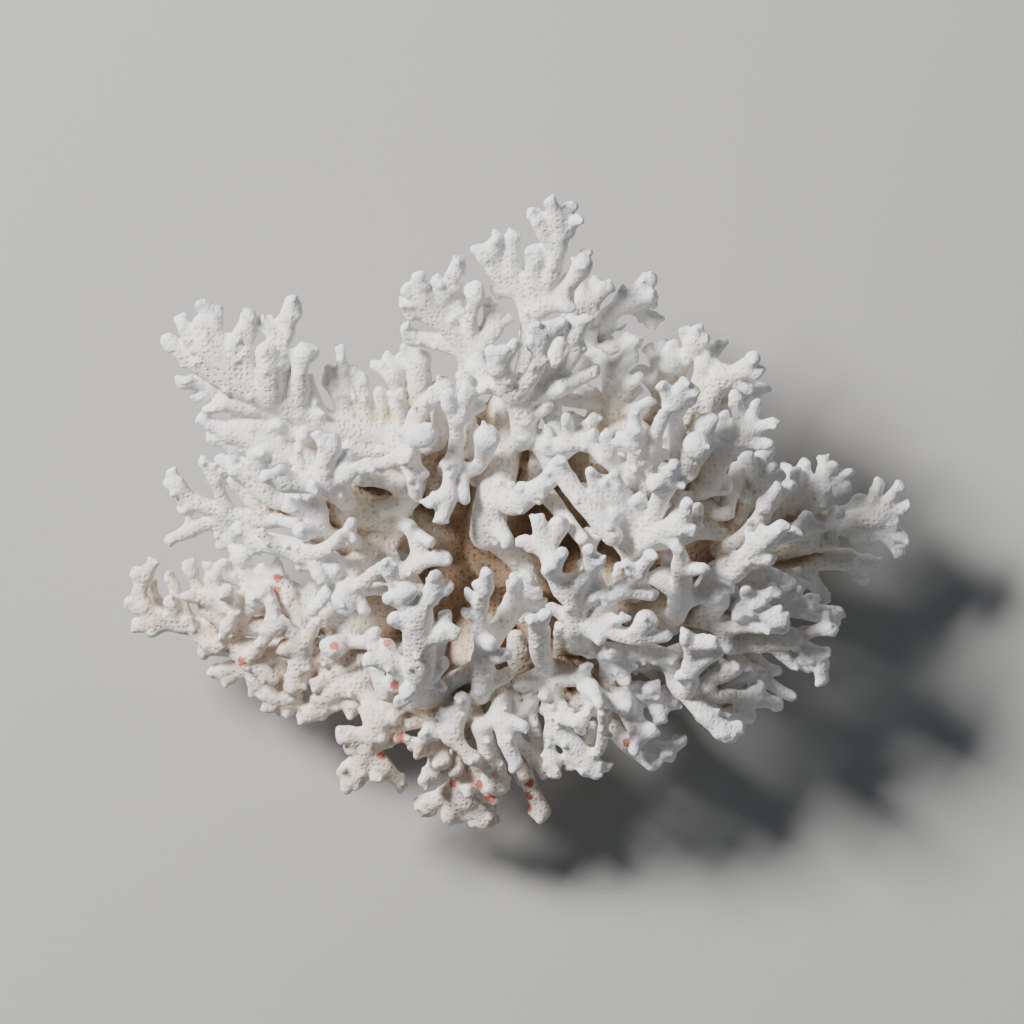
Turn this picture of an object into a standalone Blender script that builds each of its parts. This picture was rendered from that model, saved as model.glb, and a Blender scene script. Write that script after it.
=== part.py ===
"""A branching lace coral, dry and bleached white, cut off flat where it grew on rock.

Metres, +Z up, the origin in the middle of the flat cut's box with z = 0 on the cut. A short trunk carries nine
boughs, and each bough carries sprays: short limbs that end in blunt fingers. Every spray is a solid of its own.

The colony was drawn from above. Its plan places count quarter millimetres, x to the right and y towards the
viewer, and its heights and radii are millimetres.
"""

import bmesh
import bpy
import numpy as np
from mathutils.bvhtree import BVHTree

MM = 0.001
PLAN_STEP = 0.25  # mm in one step of the plan
PLAN_MIDDLE = (517.0, 517.5)  # the plan place that stands over the origin
PATH_STEP = 1.5  # mm between the points along a limb
FINGER_RADIUS = 1.5  # mm, a finger's blunt end where none is given
FINGER_SWELL = 1.55  # a finger's root against its end
STALK_RADIUS = 2.4  # mm, a finger's root at most
FINGER_SLANT = 0.5  # cosine of the angle between a finger and its limb
FINGER_SAMPLES = 5  # points along a finger with its rounded end
END_PROFILE = ((0.55, 0.82), (0.9, 0.4))  # past a blunt end: reach and radius, both in end radii
END_SET_BACK = 0.2  # of the radius, from a finger's outer end to the middle of its rounding
UNDER_LENGTH = 9.0  # mm, a short finger on the shaded side of a limb
UNDER_SPACING = 13.0  # mm between those
UNDER_RADIUS = 1.6
UNDER_DROP = 0.55  # how steeply they point down
UNDER_SPREAD = 1.1  # how far they turn sideways
VOXEL = 0.7  # mm, the grid that fuses limbs and fingers
ROUNDING = 2  # smoothing passes over the fused surface
JOINT_GAP = 0.6  # mm left around a neighbour that a solid is cut by
WIDER_GAP = 0.3  # added to it each time a solid still crosses a neighbour
FACES_PER_FINGER = 9  # triangles on a finished solid
FACES_PER_LIMB = 17
MORE_FACES = 1.07  # times as many, where a thinned skin doesn't close
FACES_BEFORE_CUTS = 2.0  # times as many, until the solid is cut clear of its neighbours

WHITE = (0.86, 0.84, 0.80, 1.0)
CREAM = (0.76, 0.69, 0.58, 1.0)
BEIGE = (0.70, 0.58, 0.47, 1.0)

# Trunk: (height, radius) up the stump from the flat cut, and its middle in the plan
TRUNK_MIDDLE = (503, 550)
TRUNK_SIDES = 20
TRUNK_WAVES = ((3, 0.05, 0.6), (5, 0.03, 2.0))  # (waves round the trunk, share of the radius, phase)
TRUNK_PROFILE = ((0.0, 25.0), (3.0, 24.6), (8.0, 21.0), (15.0, 17.0), (24.0, 13.5), (29.0, 9.0))

# Boughs: start radius, end radius, then (x, y, height) from the trunk outwards
BOUGHS = {
    "north_bough": (9.0, 7.0, (500, 560, 16), (495, 510, 30), (500, 455, 40), (515, 410, 50)),
    "northwest_bough": (9.0, 7.0, (485, 530, 16), (445, 480, 32), (405, 440, 44)),
    "west_bough": (9.0, 7.0, (478, 548, 14), (420, 525, 28), (345, 505, 38)),
    "southwest_bough": (9.0, 7.0, (480, 570, 14), (425, 605, 24), (350, 625, 30)),
    "south_bough": (9.0, 7.0, (495, 580, 14), (478, 645, 26), (462, 700, 34)),
    "southeast_bough": (9.0, 7.0, (522, 575, 14), (560, 635, 30), (600, 690, 38)),
    "east_bough": (9.0, 7.0, (535, 560, 15), (600, 585, 34), (665, 610, 44)),
    "northeast_bough": (9.0, 7.0, (530, 532, 16), (580, 490, 36), (630, 445, 52)),
    "far_east_bough": (7.5, 6.0, (540, 552, 12), (640, 560, 26), (740, 545, 30), (800, 532, 32)),
}

# Sprays: what each grows on, its limbs as above, and the outer ends of its fingers as (x, y, height) with a
# fourth number where the end isn't as thick as most
SPRAYS = {
    "north_crown": (
        "north_bough",
        (
            (3.3, 3.2, (520, 395, 50), (530, 350, 56), (531, 318, 61)),
            (2.8, 2.3, (531, 318, 61), (545, 306, 64), (562, 305, 65)),
            (3.0, 2.8, (531, 318, 61), (522, 292, 62), (512, 272, 63)),
            (3.2, 3.0, (540, 300, 63), (553, 270, 67), (558, 240, 70), (556, 222, 72)),
            (2.6, 2.4, (556, 300, 64), (570, 285, 66), (580, 272, 67)),
            (2.4, 2.0, (510, 280, 62), (498, 262, 64), (495, 248, 66)),
            (2.1, 1.8, (510, 290, 62), (494, 273, 64), (485, 258, 65)),
            (2.9, 2.4, (535, 298, 63), (534, 275, 66), (536, 260, 68)),
            (2.2, 2.0, (556, 252, 69), (543, 236, 71), (538, 222, 72)),
        ),
        (
            (549, 203, 75, 1.9), (531, 214, 73, 1.6), (573, 207, 70, 1.6), (580, 222, 73),
            (572, 236, 71), (499, 237, 68, 1.7), (478, 249, 66, 1.6), (513, 236, 68, 1.9),
            (529, 252, 69, 1.7), (540, 251, 69), (494, 291, 58, 1.6), (584, 264, 70, 2.9),
            (572, 311, 65, 1.6),
        ),
    ),
    "north_low": (
        "north_bough",
        (
            (3.1, 2.3, (535, 365, 38), (562, 325, 36), (590, 300, 34)),
        ),
        (
            (577, 257, 34), (598, 278, 33), (612, 284, 34), (623, 327, 34), (522, 330, 36),
        ),
    ),
    "north_wing": (
        "north_bough",
        (
            (2.8, 2.6, (590, 352, 46), (606, 318, 52), (632, 300, 55)),
            (2.6, 1.9, (585, 358, 50), (605, 350, 52), (628, 343, 54)),
            (2.1, 1.7, (622, 306, 54), (641, 312, 51), (652, 319, 49)),
            (2.2, 2.0, (600, 404, 50), (578, 401, 52), (564, 400, 53)),
        ),
        (
            (644, 279, 58, 1.8), (654, 277, 58, 1.6), (654, 296, 58, 2.0), (655, 305, 54),
            (621, 291, 56), (609, 322, 54, 1.2), (592, 328, 54, 1.3), (638, 341, 55, 1.5),
            (656, 324, 48, 1.5),
        ),
    ),
    "north_heart": (
        "north_bough",
        (
            (3.5, 3.0, (522, 440, 56), (520, 412, 61), (508, 386, 67), (499, 368, 71)),
            (2.6, 2.0, (514, 395, 66), (531, 378, 68), (539, 358, 70), (535, 336, 72)),
            (3.0, 2.0, (520, 402, 62), (540, 394, 63), (556, 390, 64)),
            (2.4, 2.2, (540, 385, 60), (562, 370, 63), (576, 352, 66), (573, 338, 68)),
            (2.6, 2.2, (520, 408, 63), (527, 420, 63)),
            (2.2, 1.9, (556, 442, 58), (553, 420, 58), (556, 404, 58)),
            (2.0, 1.8, (486, 384, 64), (481, 362, 62), (480, 348, 62)),
            (2.4, 2.2, (548, 378, 60), (556, 352, 60), (560, 345, 60)),
        ),
        (
            (489, 351, 74, 1.6), (503, 349, 75, 1.6), (517, 343, 75, 1.6), (528, 345, 73, 1.3),
            (535, 326, 74, 1.6), (551, 326, 72, 1.3), (543, 331, 72, 1.1), (527, 434, 60, 2.9),
            (550, 407, 63), (548, 430, 61, 1.3), (565, 390, 66, 1.6), (562, 323, 71, 1.6),
            (571, 321, 70, 1.2), (586, 318, 71, 1.6), (547, 362, 65, 1.2), (470, 366, 62, 1.3),
        ),
    ),
    "northeast_inner": (
        "northeast_bough",
        (
            (3.4, 3.1, (612, 440, 48), (613, 400, 52), (612, 370, 55)),
        ),
        (
            (594, 393, 48), (580, 385, 46), (588, 417, 50), (566, 416, 52), (637, 341, 58),
            (634, 357, 58), (641, 378, 57), (652, 401, 56), (603, 362, 56), (592, 352, 54, 2.1),
        ),
    ),
    "northeast_gall": (
        "northeast_bough",
        (
            (3.4, 2.8, (655, 420, 40), (662, 385, 44), (668, 365, 48)),
            (2.8, 2.3, (672, 385, 44), (683, 362, 48), (695, 345, 52)),
        ),
        (
            (671, 358, 51, 4.3), (661, 341, 44), (648, 346, 42), (641, 370, 42), (682, 330, 52),
            (697, 328, 54, 1.9), (707, 337, 54), (671, 343, 50), (707, 350, 52),
        ),
    ),
    "northeast_wing": (
        "northeast_bough",
        (
            (3.7, 3.1, (692, 435, 46), (708, 400, 50), (722, 375, 54)),
            (2.8, 2.2, (722, 378, 54), (742, 370, 56)),
            (3.1, 2.4, (716, 512, 48), (731, 490, 48), (738, 466, 48)),
            (2.0, 1.8, (690, 410, 50), (696, 385, 51), (703, 366, 52)),
        ),
        (
            (723, 342, 46), (715, 346, 45), (755, 358, 60, 1.9), (760, 374, 58), (750, 392, 54, 1.6),
            (766, 386, 46),
        ),
    ),
    "northeast_fork": (
        "northeast_bough",
        (
            (2.8, 2.5, (674, 450, 62), (673, 425, 69), (671, 405, 74)),
        ),
        (
            (660, 385, 78, 1.6), (683, 383, 79, 1.9), (692, 390, 78, 1.9), (685, 407, 72, 1.2),
            (693, 398, 76, 1.6),
        ),
    ),
    "east_top": (
        "northeast_bough",
        (
            (4.1, 3.4, (695, 488, 52), (718, 460, 58), (742, 430, 63)),
            (2.6, 2.1, (738, 482, 46), (758, 462, 46), (769, 450, 47)),
            (2.4, 2.1, (745, 490, 44), (768, 482, 43), (779, 476, 43)),
        ),
        (
            (731, 394, 68), (756, 403, 66, 1.3), (752, 418, 66), (774, 425, 68), (770, 446, 64, 1.8),
            (722, 414, 62), (728, 484, 52, 3.6),
        ),
    ),
    "east_gall": (
        "northeast_bough",
        (
            (3.2, 2.8, (680, 475, 58), (690, 455, 66), (700, 430, 68)),
        ),
        (
            (696, 444, 74, 4.0), (705, 420, 71, 2.9), (667, 434, 64, 2.9), (711, 417, 72),
            (714, 438, 68), (725, 428, 62),
        ),
    ),
    "center_forks": (
        "northeast_bough",
        (
            (3.3, 3.0, (640, 500, 60), (646, 470, 66), (649, 446, 70)),
            (2.8, 2.3, (630, 485, 64), (635, 457, 70), (632, 440, 73)),
            (2.4, 2.2, (622, 478, 64), (611, 462, 68), (608, 453, 70)),
        ),
        (
            (635, 412, 77, 1.6), (664, 413, 77, 1.8), (632, 428, 77, 2.0), (603, 434, 73, 1.5),
            (617, 437, 73, 1.6), (658, 440, 70, 1.3),
        ),
    ),
    "center_ridge": (
        "north_bough",
        (
            (2.5, 2.5, (549, 447, 59), (572, 442, 64), (592, 446, 65), (606, 460, 66), (626, 468, 66)),
        ),
        (
            (566, 416, 68, 1.5), (595, 431, 68, 1.5), (548, 443, 63, 1.6),
        ),
    ),
    "center_arc": (
        "north_bough",
        (
            (5.5, 4.8, (508, 425, 50), (500, 468, 52), (491, 508, 52), (487, 533, 49)),
            (3.9, 2.6, (512, 503, 58), (530, 494, 62), (546, 482, 66), (558, 467, 69)),
            (2.6, 3.0, (558, 467, 69), (572, 488, 69), (592, 512, 70), (612, 536, 70)),
            (2.2, 2.0, (536, 482, 50), (535, 462, 52), (537, 450, 53)),
            (3.7, 3.1, (520, 560, 42), (530, 590, 42), (526, 612, 43)),
        ),
        (
            (562, 459, 72, 1.6), (509, 542, 56, 1.9), (519, 487, 64, 1.6), (548, 470, 70, 1.3),
        ),
    ),
    "great_palm": (
        "east_bough",
        (
            (3.5, 3.2, (636, 585, 54), (632, 556, 62)),
            (2.8, 2.4, (630, 552, 63), (608, 520, 66), (598, 494, 69)),
            (2.8, 2.6, (632, 550, 63), (628, 520, 66), (618, 492, 69)),
            (3.0, 2.8, (636, 550, 64), (652, 518, 68), (660, 494, 74), (667, 481, 77)),
            (2.8, 2.4, (638, 548, 65), (662, 531, 70), (678, 528, 72)),
            (2.2, 2.0, (688, 536, 62), (694, 518, 63), (696, 508, 63)),
        ),
        (
            (588, 469, 73, 1.7), (603, 478, 72, 1.6), (613, 473, 73, 1.7), (612, 515, 71, 1.5),
            (636, 498, 72, 2.0), (651, 482, 80, 2.9), (673, 463, 84, 1.9), (664, 472, 82, 1.7),
            (683, 482, 79, 1.9), (686, 500, 77, 1.9), (694, 530, 74, 1.7), (675, 545, 71, 1.7),
        ),
    ),
    "cup": (
        "southeast_bough",
        (
            (3.7, 3.3, (580, 640, 50), (576, 610, 58), (572, 588, 64)),
            (2.0, 1.9, (572, 588, 64), (558, 578, 67), (551, 570, 69)),
            (2.0, 2.0, (572, 588, 64), (588, 572, 69), (592, 563, 72)),
            (2.4, 2.2, (560, 590, 62), (550, 565, 65), (545, 547, 67)),
            (2.4, 2.2, (575, 600, 60), (588, 560, 60), (586, 535, 60)),
            (2.4, 2.2, (590, 570, 64), (600, 590, 62), (605, 600, 60)),
        ),
        (
            (546, 567, 73, 1.6), (563, 550, 77, 1.5), (588, 547, 79, 1.7), (599, 560, 77, 1.7),
            (518, 540, 68, 1.9), (536, 517, 70, 1.9), (562, 520, 68, 2.9), (597, 533, 62, 1.7),
            (604, 590, 64, 1.7),
        ),
    ),
    "east_fork": (
        "southeast_bough",
        (
            (2.6, 2.4, (575, 630, 54), (598, 618, 57), (615, 632, 59), (640, 636, 60)),
            (2.0, 1.7, (600, 606, 60), (622, 588, 66), (637, 571, 71)),
            (2.4, 2.2, (612, 652, 50), (640, 652, 51), (664, 658, 49), (676, 682, 46)),
            (1.1, 1.0, (607, 597, 60), (616, 583, 62), (618, 565, 62)),
        ),
        (
            (624, 562, 74, 1.2), (651, 553, 78, 1.5), (667, 636, 61, 1.5), (610, 655, 57, 1.5),
            (624, 617, 64, 1.2), (648, 615, 64, 3.2), (671, 657, 54, 1.6), (631, 669, 50, 1.7),
            (679, 697, 44, 1.5), (601, 640, 60, 1.6),
        ),
    ),
    "east_heart": (
        "east_bough",
        (
            (3.2, 2.8, (675, 615, 52), (681, 590, 59), (680, 566, 66)),
        ),
        (
            (677, 546, 72, 1.9), (704, 568, 70, 1.5), (657, 572, 58, 3.5), (668, 553, 56, 2.0),
            (672, 598, 58, 1.7), (684, 604, 57, 1.5),
        ),
    ),
    "east_bright": (
        "east_bough",
        (
            (2.8, 2.8, (700, 590, 52), (714, 570, 58), (733, 562, 63)),
            (3.2, 2.6, (733, 572, 62), (748, 552, 67), (762, 540, 70)),
        ),
        (
            (780, 524, 74, 1.9), (797, 534, 66, 1.7), (771, 560, 68, 1.9), (747, 534, 70, 1.3),
            (730, 588, 62, 1.6), (758, 528, 71, 1.6),
        ),
    ),
    "east_finger": (
        "far_east_bough",
        (
            (3.2, 2.4, (735, 545, 46), (755, 525, 50), (766, 505, 54)),
            (3.1, 2.6, (732, 530, 42), (745, 500, 44), (760, 478, 45)),
            (3.2, 2.6, (722, 535, 42), (708, 512, 44), (700, 497, 46)),
            (2.6, 2.2, (735, 583, 46), (762, 573, 46), (790, 584, 44)),
        ),
        (
            (777, 487, 58, 1.6), (759, 502, 54, 1.2), (792, 483, 54), (775, 465, 46),
            (745, 455, 50, 2.1),
        ),
    ),
    "far_east_upper": (
        "far_east_bough",
        (
            (3.7, 3.4, (760, 530, 34), (800, 500, 34), (825, 485, 35)),
            (2.1, 1.9, (800, 516, 34), (815, 506, 35), (822, 500, 36)),
        ),
        (
            (806, 461, 34), (826, 457, 36), (834, 463, 40), (853, 471, 40), (850, 486, 38),
            (841, 493, 36), (789, 466, 34), (797, 471, 38),
        ),
    ),
    "far_east_tip": (
        "far_east_bough",
        (
            (3.7, 3.7, (800, 535, 30), (845, 520, 30), (880, 515, 32)),
            (2.8, 2.4, (790, 535, 36), (803, 527, 39)),
        ),
        (
            (882, 480, 36, 1.6), (902, 484, 36, 1.6), (916, 504, 34), (911, 543, 30), (904, 554, 28),
            (899, 525, 32), (862, 496, 28), (873, 500, 30, 1.9), (877, 544, 28, 1.9), (838, 508, 34),
            (808, 515, 42), (823, 526, 42),
        ),
    ),
    "far_east_lower": (
        "far_east_bough",
        (
            (3.4, 3.1, (780, 560, 28), (820, 560, 26), (850, 560, 25)),
            (2.1, 1.9, (800, 548, 32), (822, 545, 32), (835, 543, 31)),
        ),
        (
            (883, 563, 22), (868, 584, 20), (829, 602, 22, 1.9), (805, 590, 24),
        ),
    ),
    "east_low_cluster": (
        "east_bough",
        (
            (2.8, 2.4, (735, 625, 50), (742, 605, 56), (752, 600, 58)),
            (2.8, 2.4, (752, 606, 56), (766, 613, 57), (776, 619, 57)),
        ),
        (
            (722, 590, 60, 2.9), (723, 601, 58, 1.6), (738, 617, 56, 1.6), (757, 600, 60, 1.6),
            (745, 588, 62, 1.6), (784, 618, 58, 1.7), (785, 629, 54, 1.6), (768, 628, 56, 1.6),
            (776, 589, 58, 1.3), (755, 613, 58, 1.3),
        ),
    ),
    "southeast_star": (
        "east_bough",
        (
            (3.7, 3.4, (715, 640, 36), (755, 640, 42), (790, 638, 46)),
            (2.4, 2.0, (750, 590, 44), (770, 600, 45), (790, 608, 46), (810, 602, 48)),
            (2.2, 1.9, (795, 640, 44), (812, 655, 43), (822, 664, 42)),
            (2.0, 1.8, (800, 635, 45), (816, 630, 46), (826, 628, 47)),
        ),
        (
            (812, 601, 50, 1.6), (826, 616, 46), (834, 631, 48), (828, 652, 44), (822, 684, 42),
            (796, 668, 42), (804, 669, 40), (843, 612, 34), (839, 624, 34), (773, 588, 50),
            (788, 590, 48),
        ),
    ),
    "southeast_long": (
        "southeast_bough",
        (
            (3.2, 2.6, (660, 660, 42), (684, 690, 46), (703, 712, 47), (722, 730, 46)),
            (2.6, 1.9, (700, 700, 42), (728, 696, 40), (760, 699, 38)),
            (2.4, 2.0, (700, 690, 42), (715, 676, 42), (725, 673, 43)),
            (2.2, 2.0, (715, 715, 43), (735, 713, 38)),
        ),
        (
            (734, 738, 46, 1.7), (743, 729, 46, 1.6), (710, 718, 47, 1.7), (762, 684, 39, 1.6),
            (782, 704, 36, 1.7), (753, 715, 35, 1.9), (740, 668, 44, 1.9), (728, 664, 40, 1.6),
            (715, 663, 38, 1.6), (710, 659, 47, 1.5),
        ),
    ),
    "southeast_upright": (
        "southeast_long",
        (
            (2.2, 2.0, (688, 690, 50), (690, 665, 57), (688, 640, 63)),
            (2.0, 1.9, (690, 645, 62), (702, 641, 64)),
        ),
        (
            (714, 643, 66, 1.7), (683, 631, 66, 1.6), (720, 651, 60, 1.5), (676, 674, 56, 1.6),
            (698, 668, 58, 1.6),
        ),
    ),
    "southeast_low": (
        "southeast_star",
        (
            (2.9, 2.4, (735, 640, 30), (765, 670, 28)),
            (2.1, 1.8, (748, 668, 33), (770, 684, 32), (792, 697, 31)),
            (1.9, 1.7, (718, 690, 37), (738, 682, 37), (752, 672, 37)),
        ),
        (
            (781, 672, 26),
        ),
    ),
    "south_right": (
        "southeast_bough",
        (
            (2.8, 2.4, (604, 690, 42), (608, 668, 46), (606, 657, 49)),
            (3.0, 2.8, (606, 690, 42), (625, 704, 44), (632, 718, 43), (640, 732, 43)),
            (2.4, 2.0, (632, 700, 42), (647, 691, 44)),
            (2.9, 2.4, (606, 708, 37), (617, 732, 37), (632, 747, 37)),
            (2.2, 1.9, (674, 704, 40), (663, 691, 41)),
            (2.4, 2.1, (640, 735, 38), (655, 748, 37), (665, 752, 37)),
        ),
        (
            (657, 684, 46, 1.6), (658, 696, 44, 1.6), (663, 705, 40, 1.6), (662, 722, 42, 1.7),
            (684, 741, 34, 1.6), (670, 757, 38, 1.6), (655, 768, 38, 1.9), (633, 753, 44, 1.7),
            (655, 732, 46, 2.0), (637, 684, 44, 1.3), (625, 703, 48, 3.2), (602, 656, 52, 1.2),
            (612, 650, 54, 1.5),
        ),
    ),
    "south_rods": (
        "southeast_bough",
        (
            (3.2, 2.8, (560, 658, 40), (552, 690, 42), (555, 722, 42), (572, 745, 41)),
            (3.0, 2.4, (572, 745, 41), (588, 764, 40)),
            (1.5, 1.4, (598, 752, 42), (603, 728, 48), (601, 712, 54)),
            (2.8, 3.2, (548, 672, 42), (540, 650, 52), (539, 630, 60)),
            (2.4, 2.2, (520, 684, 42), (545, 676, 43), (568, 679, 44), (583, 677, 45)),
            (1.8, 1.5, (585, 680, 46), (591, 698, 47), (586, 715, 47), (570, 722, 46), (560, 719, 45)),
            (1.9, 1.8, (548, 735, 41), (552, 760, 40)),
            (2.4, 2.0, (535, 685, 40), (532, 698, 39)),
            (2.1, 1.9, (566, 713, 40), (575, 702, 40)),
            (2.1, 1.9, (586, 748, 37), (592, 728, 39)),
        ),
        (
            (598, 778, 40, 1.9), (609, 769, 38, 1.6), (584, 775, 40, 1.7), (571, 768, 38, 1.6),
            (600, 704, 58, 1.6), (553, 777, 40, 1.8), (563, 745, 42, 1.5), (529, 711, 38, 1.8),
            (543, 713, 38, 1.7), (588, 665, 52, 1.3), (594, 684, 50, 1.0), (531, 617, 68, 1.9),
            (545, 612, 68, 1.9), (578, 731, 45, 1.1), (543, 697, 46, 1.6),
        ),
    ),
    "south_fan": (
        "south_bough",
        (
            (3.0, 2.6, (480, 695, 42), (482, 665, 48), (484, 640, 54)),
            (2.2, 1.9, (484, 640, 54), (480, 612, 59), (486, 586, 64)),
            (3.2, 2.8, (486, 650, 48), (502, 622, 51), (513, 600, 53)),
            (2.6, 2.4, (505, 625, 50), (522, 600, 52), (529, 590, 54)),
            (2.8, 2.4, (485, 668, 44), (462, 676, 43), (440, 690, 41), (414, 705, 38)),
        ),
        (
            (486, 570, 68, 1.6), (475, 582, 64, 1.2), (467, 592, 62, 1.3), (463, 611, 60, 1.2),
            (515, 577, 58, 1.6), (528, 573, 58, 1.7), (540, 590, 55, 1.7), (545, 603, 51, 1.6),
            (493, 645, 60, 1.9), (509, 654, 56, 1.7),
        ),
    ),
    "southwest_crown": (
        "southwest_bough",
        (
            (4.8, 4.4, (420, 672, 48), (420, 645, 57), (418, 612, 63)),
            (2.4, 2.0, (425, 640, 60), (443, 633, 62)),
            (2.0, 1.9, (405, 602, 64), (396, 584, 66), (391, 569, 69)),
            (2.6, 2.2, (425, 602, 65), (435, 589, 67)),
        ),
        (
            (390, 559, 71, 1.7), (437, 572, 70, 1.7), (451, 586, 66, 1.7), (386, 598, 66, 1.7),
            (392, 616, 64, 1.9), (438, 598, 66, 1.7), (455, 629, 64, 1.9), (445, 612, 62, 1.3),
            (409, 588, 69, 2.9),
        ),
    ),
    "southwest_palm": (
        "south_bough",
        (
            (3.5, 3.2, (425, 690, 44), (405, 670, 50), (385, 660, 53)),
            (3.0, 2.6, (425, 700, 40), (413, 692, 46)),
            (2.4, 2.0, (418, 690, 47), (432, 673, 51)),
            (2.8, 2.6, (440, 712, 36), (415, 705, 37), (400, 700, 37)),
            (2.0, 1.7, (390, 668, 44), (374, 647, 45)),
            (2.1, 1.9, (386, 694, 42), (378, 678, 43), (377, 668, 44)),
            (3.1, 2.6, (432, 718, 34), (408, 721, 34), (392, 726, 34)),
        ),
        (
            (366, 658, 56, 3.2), (405, 690, 54, 3.5), (446, 660, 54, 1.9), (373, 630, 46, 1.2),
            (390, 642, 46, 1.9), (396, 703, 48, 1.6), (387, 686, 46, 3.5),
        ),
    ),
    "south_tooth": (
        "south_bough",
        (
            (3.3, 3.3, (470, 700, 36), (455, 716, 42), (452, 735, 43)),
            (2.4, 1.9, (452, 735, 43), (464, 750, 43), (472, 758, 42)),
            (1.9, 1.7, (440, 730, 41), (427, 735, 42), (420, 747, 41)),
            (3.0, 2.8, (474, 712, 38), (484, 734, 41), (489, 758, 37)),
            (2.4, 2.0, (487, 752, 38), (496, 770, 35)),
            (1.8, 1.5, (440, 738, 36), (433, 758, 34), (431, 776, 33)),
            (2.4, 2.1, (476, 768, 32), (481, 788, 30), (494, 800, 29)),
            (2.6, 2.2, (452, 728, 38), (448, 705, 39), (446, 696, 40)),
        ),
        (
            (416, 754, 40, 1.7), (478, 763, 43, 1.6), (462, 696, 48, 3.2), (426, 727, 43, 1.7),
            (440, 714, 44, 1.7), (438, 768, 38, 1.9), (447, 764, 38, 1.7), (421, 784, 34, 1.9),
            (483, 726, 48, 4.1), (490, 793, 32, 1.7), (506, 792, 32, 1.7), (484, 772, 37, 1.6),
        ),
    ),
    "south_finger": (
        "south_bough",
        (
            (2.8, 2.4, (498, 690, 40), (501, 715, 43), (507, 742, 44)),
            (2.0, 1.9, (510, 735, 38), (532, 756, 36), (545, 768, 35)),
            (2.2, 2.4, (512, 750, 32), (525, 780, 29)),
            (2.4, 2.5, (521, 768, 30), (532, 792, 27), (540, 812, 25)),
            (3.1, 2.6, (522, 684, 34), (517, 658, 36), (517, 640, 37)),
            (2.4, 2.2, (516, 712, 38), (510, 690, 39)),
            (2.6, 2.2, (528, 712, 37), (536, 736, 36), (541, 750, 35)),
        ),
        (
            (517, 768, 43, 1.6), (527, 727, 46, 1.8), (551, 775, 34, 1.6), (541, 818, 24, 3.0),
        ),
    ),
    "south_wedge": (
        "south_bough",
        (
            (3.2, 3.4, (465, 745, 28), (460, 780, 28), (465, 802, 26)),
            (2.2, 2.0, (452, 808, 25), (470, 818, 23), (490, 824, 22)),
        ),
        (
            (413, 805, 22), (428, 817, 20, 1.9), (497, 822, 20, 1.9), (482, 829, 20, 1.9),
            (470, 795, 34, 1.8), (455, 775, 36, 1.9), (455, 822, 21, 1.7),
        ),
    ),
    "southwest_foot": (
        "south_bough",
        (
            (3.3, 3.2, (395, 705, 34), (378, 722, 36), (372, 738, 34)),
            (2.2, 2.2, (380, 738, 34), (360, 736, 34), (347, 736, 34)),
            (3.0, 2.8, (372, 738, 33), (362, 758, 31), (360, 772, 29)),
            (1.4, 1.3, (385, 745, 33), (400, 739, 34), (415, 743, 34)),
            (2.6, 2.4, (370, 755, 31), (384, 770, 30)),
            (2.2, 2.0, (352, 765, 29), (346, 778, 28), (345, 790, 27)),
        ),
        (
            (338, 735, 34, 2.1), (346, 751, 32, 1.9), (345, 775, 29, 1.9), (352, 789, 28, 2.0),
            (378, 783, 31, 2.0), (404, 790, 26, 1.9), (384, 741, 36, 1.6), (392, 722, 38, 2.0),
            (364, 716, 36, 2.9),
        ),
    ),
    "southwest_low": (
        "southwest_bough",
        (
            (3.3, 3.2, (365, 676, 33), (340, 688, 31), (320, 699, 29)),
            (3.0, 2.8, (320, 655, 32), (298, 680, 29), (290, 697, 27)),
            (2.6, 2.4, (292, 694, 27), (272, 700, 26)),
            (2.4, 2.2, (360, 700, 30), (351, 706, 29)),
            (2.0, 1.8, (266, 675, 26), (278, 686, 26), (290, 684, 26)),
            (2.9, 2.2, (358, 660, 34), (338, 671, 32), (325, 680, 31)),
            (2.6, 2.2, (352, 690, 30), (330, 706, 28), (312, 712, 27)),
        ),
        (
            (265, 712, 24, 2.0), (284, 716, 24, 2.0), (301, 721, 24, 1.7), (318, 714, 26, 1.6),
            (350, 716, 28, 1.9), (262, 695, 28, 1.9), (313, 688, 33, 1.6), (374, 706, 34, 2.9),
            (290, 668, 27, 1.5), (268, 662, 27, 1.5),
        ),
    ),
    "southwest_arm": (
        "southwest_bough",
        (
            (4.3, 3.3, (335, 655, 34), (300, 650, 31), (262, 652, 31), (235, 648, 31), (212, 645, 30)),
            (2.0, 1.8, (253, 660, 29), (254, 685, 27)),
            (2.2, 2.0, (350, 642, 36), (368, 643, 38)),
        ),
        (
            (198, 655, 28, 1.9), (228, 620, 36, 1.7), (281, 622, 40, 1.6), (210, 675, 24, 1.9),
            (253, 696, 25, 1.9), (280, 648, 37, 3.1), (328, 650, 42, 5.2), (373, 631, 42, 1.2),
            (222, 682, 24, 1.7),
        ),
    ),
    "southwest_lace": (
        "southwest_bough",
        (
            (3.4, 3.1, (310, 615, 34), (265, 605, 35), (222, 606, 34)),
            (2.4, 2.3, (215, 603, 34), (210, 580, 34)),
            (3.0, 2.6, (300, 625, 32), (262, 628, 32), (228, 622, 32), (205, 610, 32)),
            (2.6, 2.1, (290, 608, 35), (282, 585, 36), (262, 570, 36)),
            (3.1, 2.6, (282, 592, 34), (248, 580, 33), (222, 572, 32)),
            (1.9, 1.5, (205, 605, 32), (196, 588, 32), (190, 572, 33)),
            (3.7, 3.1, (330, 618, 34), (300, 600, 33), (275, 598, 33)),
        ),
        (
            (187, 563, 34), (187, 597, 30), (204, 566, 34), (225, 588, 36), (262, 590, 36),
            (245, 553, 36), (235, 548, 34, 1.8), (220, 562, 36), (250, 602, 40, 2.9),
            (277, 562, 38, 1.2), (183, 596, 37), (226, 590, 40), (262, 590, 41), (313, 586, 30, 3.5),
        ),
    ),
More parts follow.
